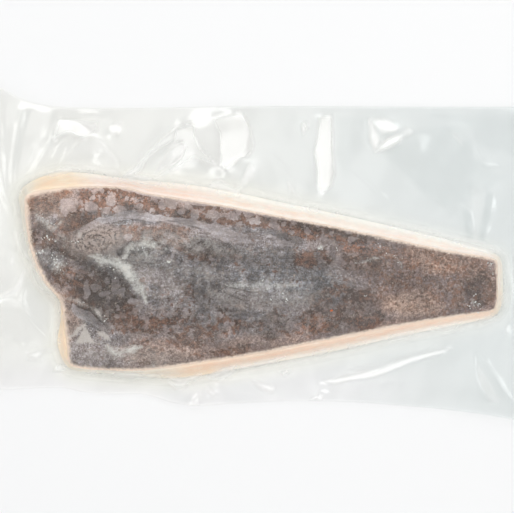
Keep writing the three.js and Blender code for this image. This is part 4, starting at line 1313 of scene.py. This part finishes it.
def skin_material():
    material, n = new_material("frosted_skin")
    where = n.place()
    brown, rusty, dark, lit, cool, tan, pale = n.masks("brown rusty dark lit cool tan pale")
    ice, dots, islands, haze, frost, crease = n.masks("ice dots islands haze frost crease")
    rings, coarse, cracks, fringe, fleck = n.masks("rings coarse cracks fringe fleck")
    pepper = n.grain(where, 1.25, 2, 0.9)
    speck = n.grain(where, 2.4, 3, 0.85)
    freckle = n.grain(where, 4.6, 5, 0.78)
    mottle = n.grain(where, 10, 5, 0.7)
    cloud = n.grain(where, 24, 3, 0.55)
    drawn_out = n.add("ShaderNodeMapping", {
        "Vector": where, "Scale": (0.16, 1, 1), "Rotation": (0, 0, math.radians(4)),
    })
    streak = n.grain(drawn_out.outputs[0], 2.2, 3, 0.7)

    # The plain skin: lilac grey, bluer, tanner or paler from place to place.
    base = n.mix(n.spread(mottle, 0.38, 0.62), GREY_LOW, GREY_HIGH)
    base = n.mix(n.times(cool, 0.85), base, n.mix(n.spread(mottle, 0.4, 0.6), BLUE_LOW, BLUE_HIGH))
    base = n.mix(n.times(tan, 0.85), base, n.mix(n.spread(mottle, 0.4, 0.6), TAN_LOW, TAN_HIGH))
    base = n.mix(n.times(pale, 0.6), base, n.mix(tan, LILAC_HIGH, PINK_PALE))

    # Brown pigment: ragged patches, and fine grains towards the tail.
    wide = n.blend((freckle, 0.45), (mottle, 0.55))
    fine = n.blend((n.grain(where, 3.0, 3, 0.75), 0.5), (mottle, 0.3), (pepper, 0.2))
    pigment = n.ragged(n.mix_value(coarse, wide, fine), brown, 0.2)
    brown_cover = n.spread(pigment, 0.475, 0.525)
    rust_cover = n.times(rusty, n.spread(n.blend((speck, 0.5), (mottle, 0.5)), 0.46, 0.54))
    brown_tone = n.minus(n.blend((speck, 0.4), (n.grain(where, 7, 3, 0.6), 0.6)), n.times(dark, 0.08))
    brown_colour = n.mix(n.spread(brown_tone, 0.4, 0.58), BROWN_DARK, BROWN_MID)
    brown_colour = n.mix(n.times(rust_cover, 0.85), brown_colour, RUST)
    colour = n.mix(n.times(brown_cover, 0.88), base, brown_colour)

    # Ice between the skin and the film: ragged islands, round dots and the patches placed one by one.
    patchy = n.blend((n.grain(where, 8.5, 4, 0.6), 0.9), (freckle, 0.1))
    shreds = n.times(islands, n.spread(patchy, 0.525, 0.56))
    wobble = n.add("ShaderNodeVectorMath", {
        0: n.grain(where, 4.5, 3, 0.6, "Colour"), "Scale": DOT_WOBBLE * MM,
    }, operation="SCALE")
    warped = n.add("ShaderNodeVectorMath", {0: where, 1: wobble.outputs[0]}, operation="ADD")
    cells = n.add("ShaderNodeTexVoronoi", {
        "Vector": warped.outputs[0], "Scale": 1 / (DOT_SPACING * MM),
    }, voronoi_dimensions="2D", feature="F1")
    chance = n.axes(cells.outputs["Color"])
    present = n.math("LESS_THAN", chance["X"], dots)
    reach = n.spread(chance["Y"], 0.0, 1.0, 0.16, 0.44)
    round_dots = n.times(present, n.spread(n.minus(reach, cells.outputs["Distance"]), -0.03, 0.03))
    placed = n.spread(n.ragged(ice, freckle, 0.6), 0.46, 0.54)
    ice_cover = n.math("MAXIMUM", n.math("MAXIMUM", shreds, round_dots), placed)
    ice_colour = n.mix(n.spread(mottle, 0.38, 0.62), LILAC_LOW, LILAC_HIGH)
    ice_colour = n.mix(n.times(pale, 0.6), ice_colour, ICE_PALE)
    ice_colour = n.mix(n.times(cool, 0.7), ice_colour, ICE_COOL)
    colour = n.mix(n.times(ice_cover, 0.84), colour, ice_colour)
    # The dark mask also holds the painted shadow below the flap's step.
    for amount, by in ((dark, SHADE), (lit, LIFT), (cool, COOLING)):
        colour = n.tinted(colour, amount, by)

    # Salt and pepper over everything, finer on the ice.
    bare = n.minus(1.0, n.math("MAXIMUM", n.times(ice_cover, 0.55), n.times(brown_cover, 0.3)))
    for grain, low, high, amount in (
        (pepper, 0.38, 0.62, n.times(bare, 0.8)), (speck, 0.4, 0.6, n.times(bare, 0.85)),
        (freckle, 0.4, 0.6, n.times(bare, 0.45)), (streak, 0.36, 0.64, n.times(cool, 0.5)), (cloud, 0.3, 0.7, 0.4),
    ):
        colour = n.vary(colour, n.spread(grain, low, high), amount)

    # Rings that the ice left round one place near the head.
    centred = n.add("ShaderNodeMapping", {
        "Vector": where, "Location": (-RING_MIDDLE[0] * MM / RING_STRETCH, -RING_MIDDLE[1] * MM, 0),
        "Scale": (1 / RING_STRETCH, 1, 0),
    })
    length = n.add("ShaderNodeVectorMath", {0: centred.outputs[0]}, operation="LENGTH").outputs["Value"]
    turns = n.plus(n.times(length, 2 * math.pi / (RING_SPACING * MM)), n.times(mottle, RING_WANDER))
    broken = n.times(rings, n.spread(n.grain(where, 5, 3, 0.6), 0.4, 0.52))
    ring_line = n.times(n.spread(n.math("SINE", turns), -0.35, -0.7), n.spread(pepper, 0.38, 0.5))
    for cover, ring_colour in (
        (n.times(n.times(rings, 0.7), n.spread(freckle, 0.4, 0.5)), RING_GROUND),
        (n.times(n.times(rings, 0.8), n.spread(speck, 0.46, 0.4)), BROWN_DARK),
        (n.times(n.times(broken, 0.85), ring_line), RING_LINE),
    ):
        colour = n.mix(cover, colour, ring_colour)

    # Thin haze, fine dust, thick frost, painted highlights of the flap's step edge and of film folds, and cracks.
    haze_cover = n.times(haze, n.spread(n.blend((mottle, 0.6), (pepper, 0.4)), 0.42, 0.6))
    dust = n.spread(n.grain(where, 1.5, 3, 0.9), 0.62, 0.72)
    crystals = n.blend((n.grain(where, 1.9, 4, 0.9), 0.6), (n.grain(where, 5.5, 3, 0.7), 0.4))
    frost_cover = n.spread(n.ragged(frost, crystals, 2.2), 0.36, 1.05)
    for cover, share, cover_colour in (
        (haze_cover, 0.5, HAZE), (dust, 0.5, HAZE), (frost_cover, 0.85, FROST),
        (n.spread(n.ragged(crease, pepper, 0.9), 0.35, 0.85), 0.75, FOLD_HIGHLIGHT),
        (n.spread(fleck, 0.4, 0.6), 1.0, FLECK),
        (n.spread(n.ragged(cracks, pepper, 0.8), 0.45, 0.8), 0.6, CRACK),
    ):
        colour = n.mix(n.times(cover, share), colour, cover_colour)

    # The torn edge shows the flesh.
    tear = n.blend((n.minus(pepper, 0.5), 1.2), (n.minus(freckle, 0.5), 1.4))
    torn = n.spread(n.plus(fringe, n.times(tear, n.spread(fringe, 0.0, 0.3))), 1.0, 0.0)
    relief = n.plus(n.times(pepper, 0.6), n.blend((frost_cover, 0.8), (ice_cover, 0.3)))
    n.finish(n.shader("BsdfPrincipled", {
        "Base Color": n.mix(torn, colour, TORN_EDGE),
        "Roughness": n.minus(n.spread(pepper, 0.3, 0.7, 0.62, 0.78), n.times(ice_cover, 0.16)),
        "Specular IOR Level": 0.3, "Normal": n.bump(relief, 0.25, 0.7),
    }))
    return material


def flesh_material():
    material, n = new_material("frozen_flesh")
    where = n.place()
    share, run, pink, orange, belly, frosted = n.masks("share run pink orange belly frosted")
    along = n.add("ShaderNodeCombineXYZ", {"X": n.times(run, MM * 0.12), "Y": n.times(share, MM * 11)})
    streaks = n.grain(along.outputs[0], 1.6, 3, 0.6)
    patches = n.grain(where, 38, 2, 0.5)

    peach = n.times(n.spread(share, 0.02, 0.2), n.spread(share, 0.85, 0.35))
    peach = n.times(n.times(peach, n.spread(streaks, 0.4, 0.62)), n.spread(patches, 0.35, 0.6, 0.35, 1.0))
    at_tail = n.spread(n.axes(where)["X"], 0.2, 0.212)
    under = n.spread(share, 1.1, 1.3)
    flakes = n.bands(where, {"Scale": 22, "Distortion": 9, "Detail": 2, "Detail Scale": 0.6})
    lines = n.times(n.spread(flakes, 0.12, 0.0), under)
    # Paler towards the foot: partly the flesh's own colour, partly painted light for the thin edge that light passes
    # through.
    colour = n.mix(n.spread(share, 0.3, 1.0), FLESH_AT_SKIN, FLESH_AT_FOOT)
    for cover, amount, flesh_colour in (
        (pink, n.spread(share, 1.0, 0.2, 0.3, 0.8), FLESH_PINK),
        (orange, n.spread(patches, 0.3, 0.6, 0.45, 0.9), FLESH_ORANGE),
        (belly, n.spread(share, 1.0, 0.3, 0.2, 0.8), FLESH_BELLY),
        (peach, n.mix_value(belly, 0.4, 0.6), FLESH_PEACH),
        (n.spread(streaks, 0.5, 0.3), 0.25, FLESH_STREAK),
        (at_tail, 0.5, FLESH_TAIL),
        (frosted, 0.7, FLESH_FROSTED),
        (lines, 0.45, FLAKE_LINE),
    ):
        colour = n.mix(n.times(cover, amount), colour, flesh_colour)
    n.finish(n.shader("BsdfPrincipled", {
        "Base Color": colour, "Roughness": n.spread(streaks, 0.2, 0.8, 0.42, 0.6),
        "Subsurface Weight": 0.3, "Subsurface Radius": (1.0, 0.8, 0.65), "Subsurface Scale": 4 * MM,
        "Normal": n.bump(n.plus(streaks, n.times(lines, -0.6)), 0.5, 0.5),
    }))
    return material


def frost_material():
    material, n = new_material("frost")
    n.finish(n.shader("BsdfPrincipled", {"Base Color": CHIP_ICE, "Roughness": 0.45}))
    return material


def film_material():
    """Clear film: it mirrors a little, more at a slant, and lets the rest through with a faint milky tint."""
    material, n = new_material("clear_film")
    where = n.place()
    seal, near, clearer, duller, crease, cling = n.masks("seal near clearer duller crease cling")
    clouds = n.grain(where, 60, 2, 0.5)
    axes = n.axes(where)
    below = n.times(n.spread(axes["Y"], -0.085, -0.12), n.spread(axes["X"], 0.2, 0.05))
    # Darker from the head end to the tail end: painted shade, for the darker reflection the film shows towards the
    # tail.
    tint = n.mix(n.spread(axes["X"], -0.16, 0.24), FILM_AT_HEAD, FILM_AT_TAIL)
    tint = n.mix(n.times(below, 0.6), tint, FILM_BELOW)
    tint = n.mix(n.times(near, 0.8), tint, FILM_BY_FISH)
    # Painted sheen clears the tint to white, and painted darker reflection dulls it.
    tint = n.mix(clearer, tint, (1, 1, 1, 1))
    tint = n.tinted(tint, n.times(duller, 0.5), FILM_DARK_REFLECTION)

    haze = n.plus(n.spread(clouds, 0.3, 0.7, 0.005, 0.025), n.times(seal, 0.12))
    crumpled = n.times(crease, n.spread(n.grain(where, 22, 2, 0.5), 0.35, 0.6, 0.4, 1.0))
    # The painted sheen also makes the film milky white.
    haze = n.plus(n.plus(haze, n.times(crumpled, 0.26)), n.times(clearer, 0.4))
    clear = n.shader("BsdfTransparent", {"Color": tint})
    milk = n.shader("BsdfPrincipled", {"Base Color": n.mix(clouds, MILK_LOW, MILK_HIGH), "Roughness": 0.5})
    body = n.shader("MixShader", {"Fac": haze, 1: clear, 2: milk})

    ribs = n.bands(where, {"Scale": 1 / (SEAL_RIB * MM * WAVE_TURNS)})
    ripple = n.plus(n.grain(where, 9, 2, 0.5), n.times(n.times(ribs, seal), 2.0))
    normal = n.bump(ripple, 0.1, 0.5)
    rough = n.plus(n.times(cling, FILM_ROUGH_ON_FISH), FILM_ROUGH)
    gloss = n.shader("BsdfGlossy", {"Color": (1, 1, 1, 1), "Roughness": rough, "Normal": normal})
    facing = n.add("ShaderNodeLayerWeight", {"Blend": 0.5, "Normal": normal}).outputs["Facing"]
    touching = n.times(cling, n.spread(n.grain(where, 6, 3, 0.6), 0.38, 0.6, 1.0, 0.55))
    square_on = n.times(n.minus(1.0, n.times(touching, 0.78)), FILM_GLOSS)
    mirrored = n.plus(n.times(n.math("POWER", facing, 5.0), 0.9), square_on)
    n.finish(n.shader("MixShader", {"Fac": mirrored, 1: body, 2: gloss}))
    return material


def table_material():
    material, n = new_material("pale_table")
    n.finish(n.shader("BsdfPrincipled", {
        "Base Color": n.mix(n.grain(n.place(), 400, 2, 0.5), TABLE_LOW, TABLE_HIGH),
        "Roughness": 0.9, "Specular IOR Level": 0.1,
    }))
    return material


# ---- stage ----
def make_table():
    bpy.ops.object.select_all(action="DESELECT")
    bpy.ops.mesh.primitive_plane_add(size=8)
    table = bpy.context.object
    table.name = "table"
    table.data.materials.append(table_material())


def softbox(name, place, size, radiance):
    """A square light that faces the pack. Its strength is the brightness that a mirror would show."""
    bpy.ops.object.light_add(type="AREA", location=place)
    lamp = bpy.context.object
    lamp.name = name
    lamp.data.shape = "RECTANGLE"
    lamp.data.size, lamp.data.size_y = size
    lamp.data.energy = radiance * math.pi * size[0] * size[1]
    direction = -lamp.location
    lamp.rotation_euler = direction.to_track_quat("-Z", "X" if abs(place[0]) > abs(place[1]) else "Y").to_euler()


def make_lights():
    for name, side, size, radiance in SOFTBOXES:
        softbox(name, BOX_AT[side], size, radiance)
    world = bpy.data.worlds.new("studio")
    bpy.context.scene.world = world
    world.use_nodes = True
    world.node_tree.nodes.clear()
    n = Nodes(world.node_tree)
    where = n.add("ShaderNodeTexCoord").outputs["Generated"]
    middle = np.divide(OVERHEAD_AT, np.linalg.norm(OVERHEAD_AT))
    toward = n.add("ShaderNodeVectorMath", {0: where, 1: middle}, operation="DOT_PRODUCT").outputs["Value"]
    overhead = n.spread(toward, math.cos(math.radians(23)), math.cos(math.radians(5)))
    low = n.mix(n.spread(n.axes(where)["Z"], 0.2, 0.75), WALL, CEILING)
    sky = n.shader("Background", {"Color": n.mix(overhead, low, OVERHEAD), "Strength": STUDIO_STRENGTH})
    n.finish(sky, "World")


def make_camera():
    bpy.ops.object.camera_add(location=(CAMERA_OVER[0] * MM, CAMERA_OVER[1] * MM, CAMERA_HEIGHT * MM))
    camera = bpy.context.object
    camera.rotation_euler = (0, 0, 0)
    camera.data.sensor_width = SENSOR
    camera.data.lens = SENSOR * CAMERA_HEIGHT / FRAME_WIDTH
    camera.data.clip_end = 50
    bpy.context.scene.camera = camera


def set_view():
    scene = bpy.context.scene
    scene.view_settings.view_transform = "Standard"
    scene.view_settings.look = "None"
    scene.view_settings.exposure = 0
    scene.view_settings.gamma = 1


# ---- the whole pack ----
def finish_piece(piece, material):
    piece.data.materials.clear()
    piece.data.materials.append(material)
    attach(piece, "root")
    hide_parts("vacuum_pack")


def main():
    outline = Outline()
    finish_piece(make_flesh(outline), flesh_material())
    finish_piece(make_skin(outline), skin_material())
    finish_piece(make_crystals(outline), frost_material())
    finish_piece(make_film(outline), film_material())
    make_table()
    make_lights()
    make_camera()
    set_view()


main()
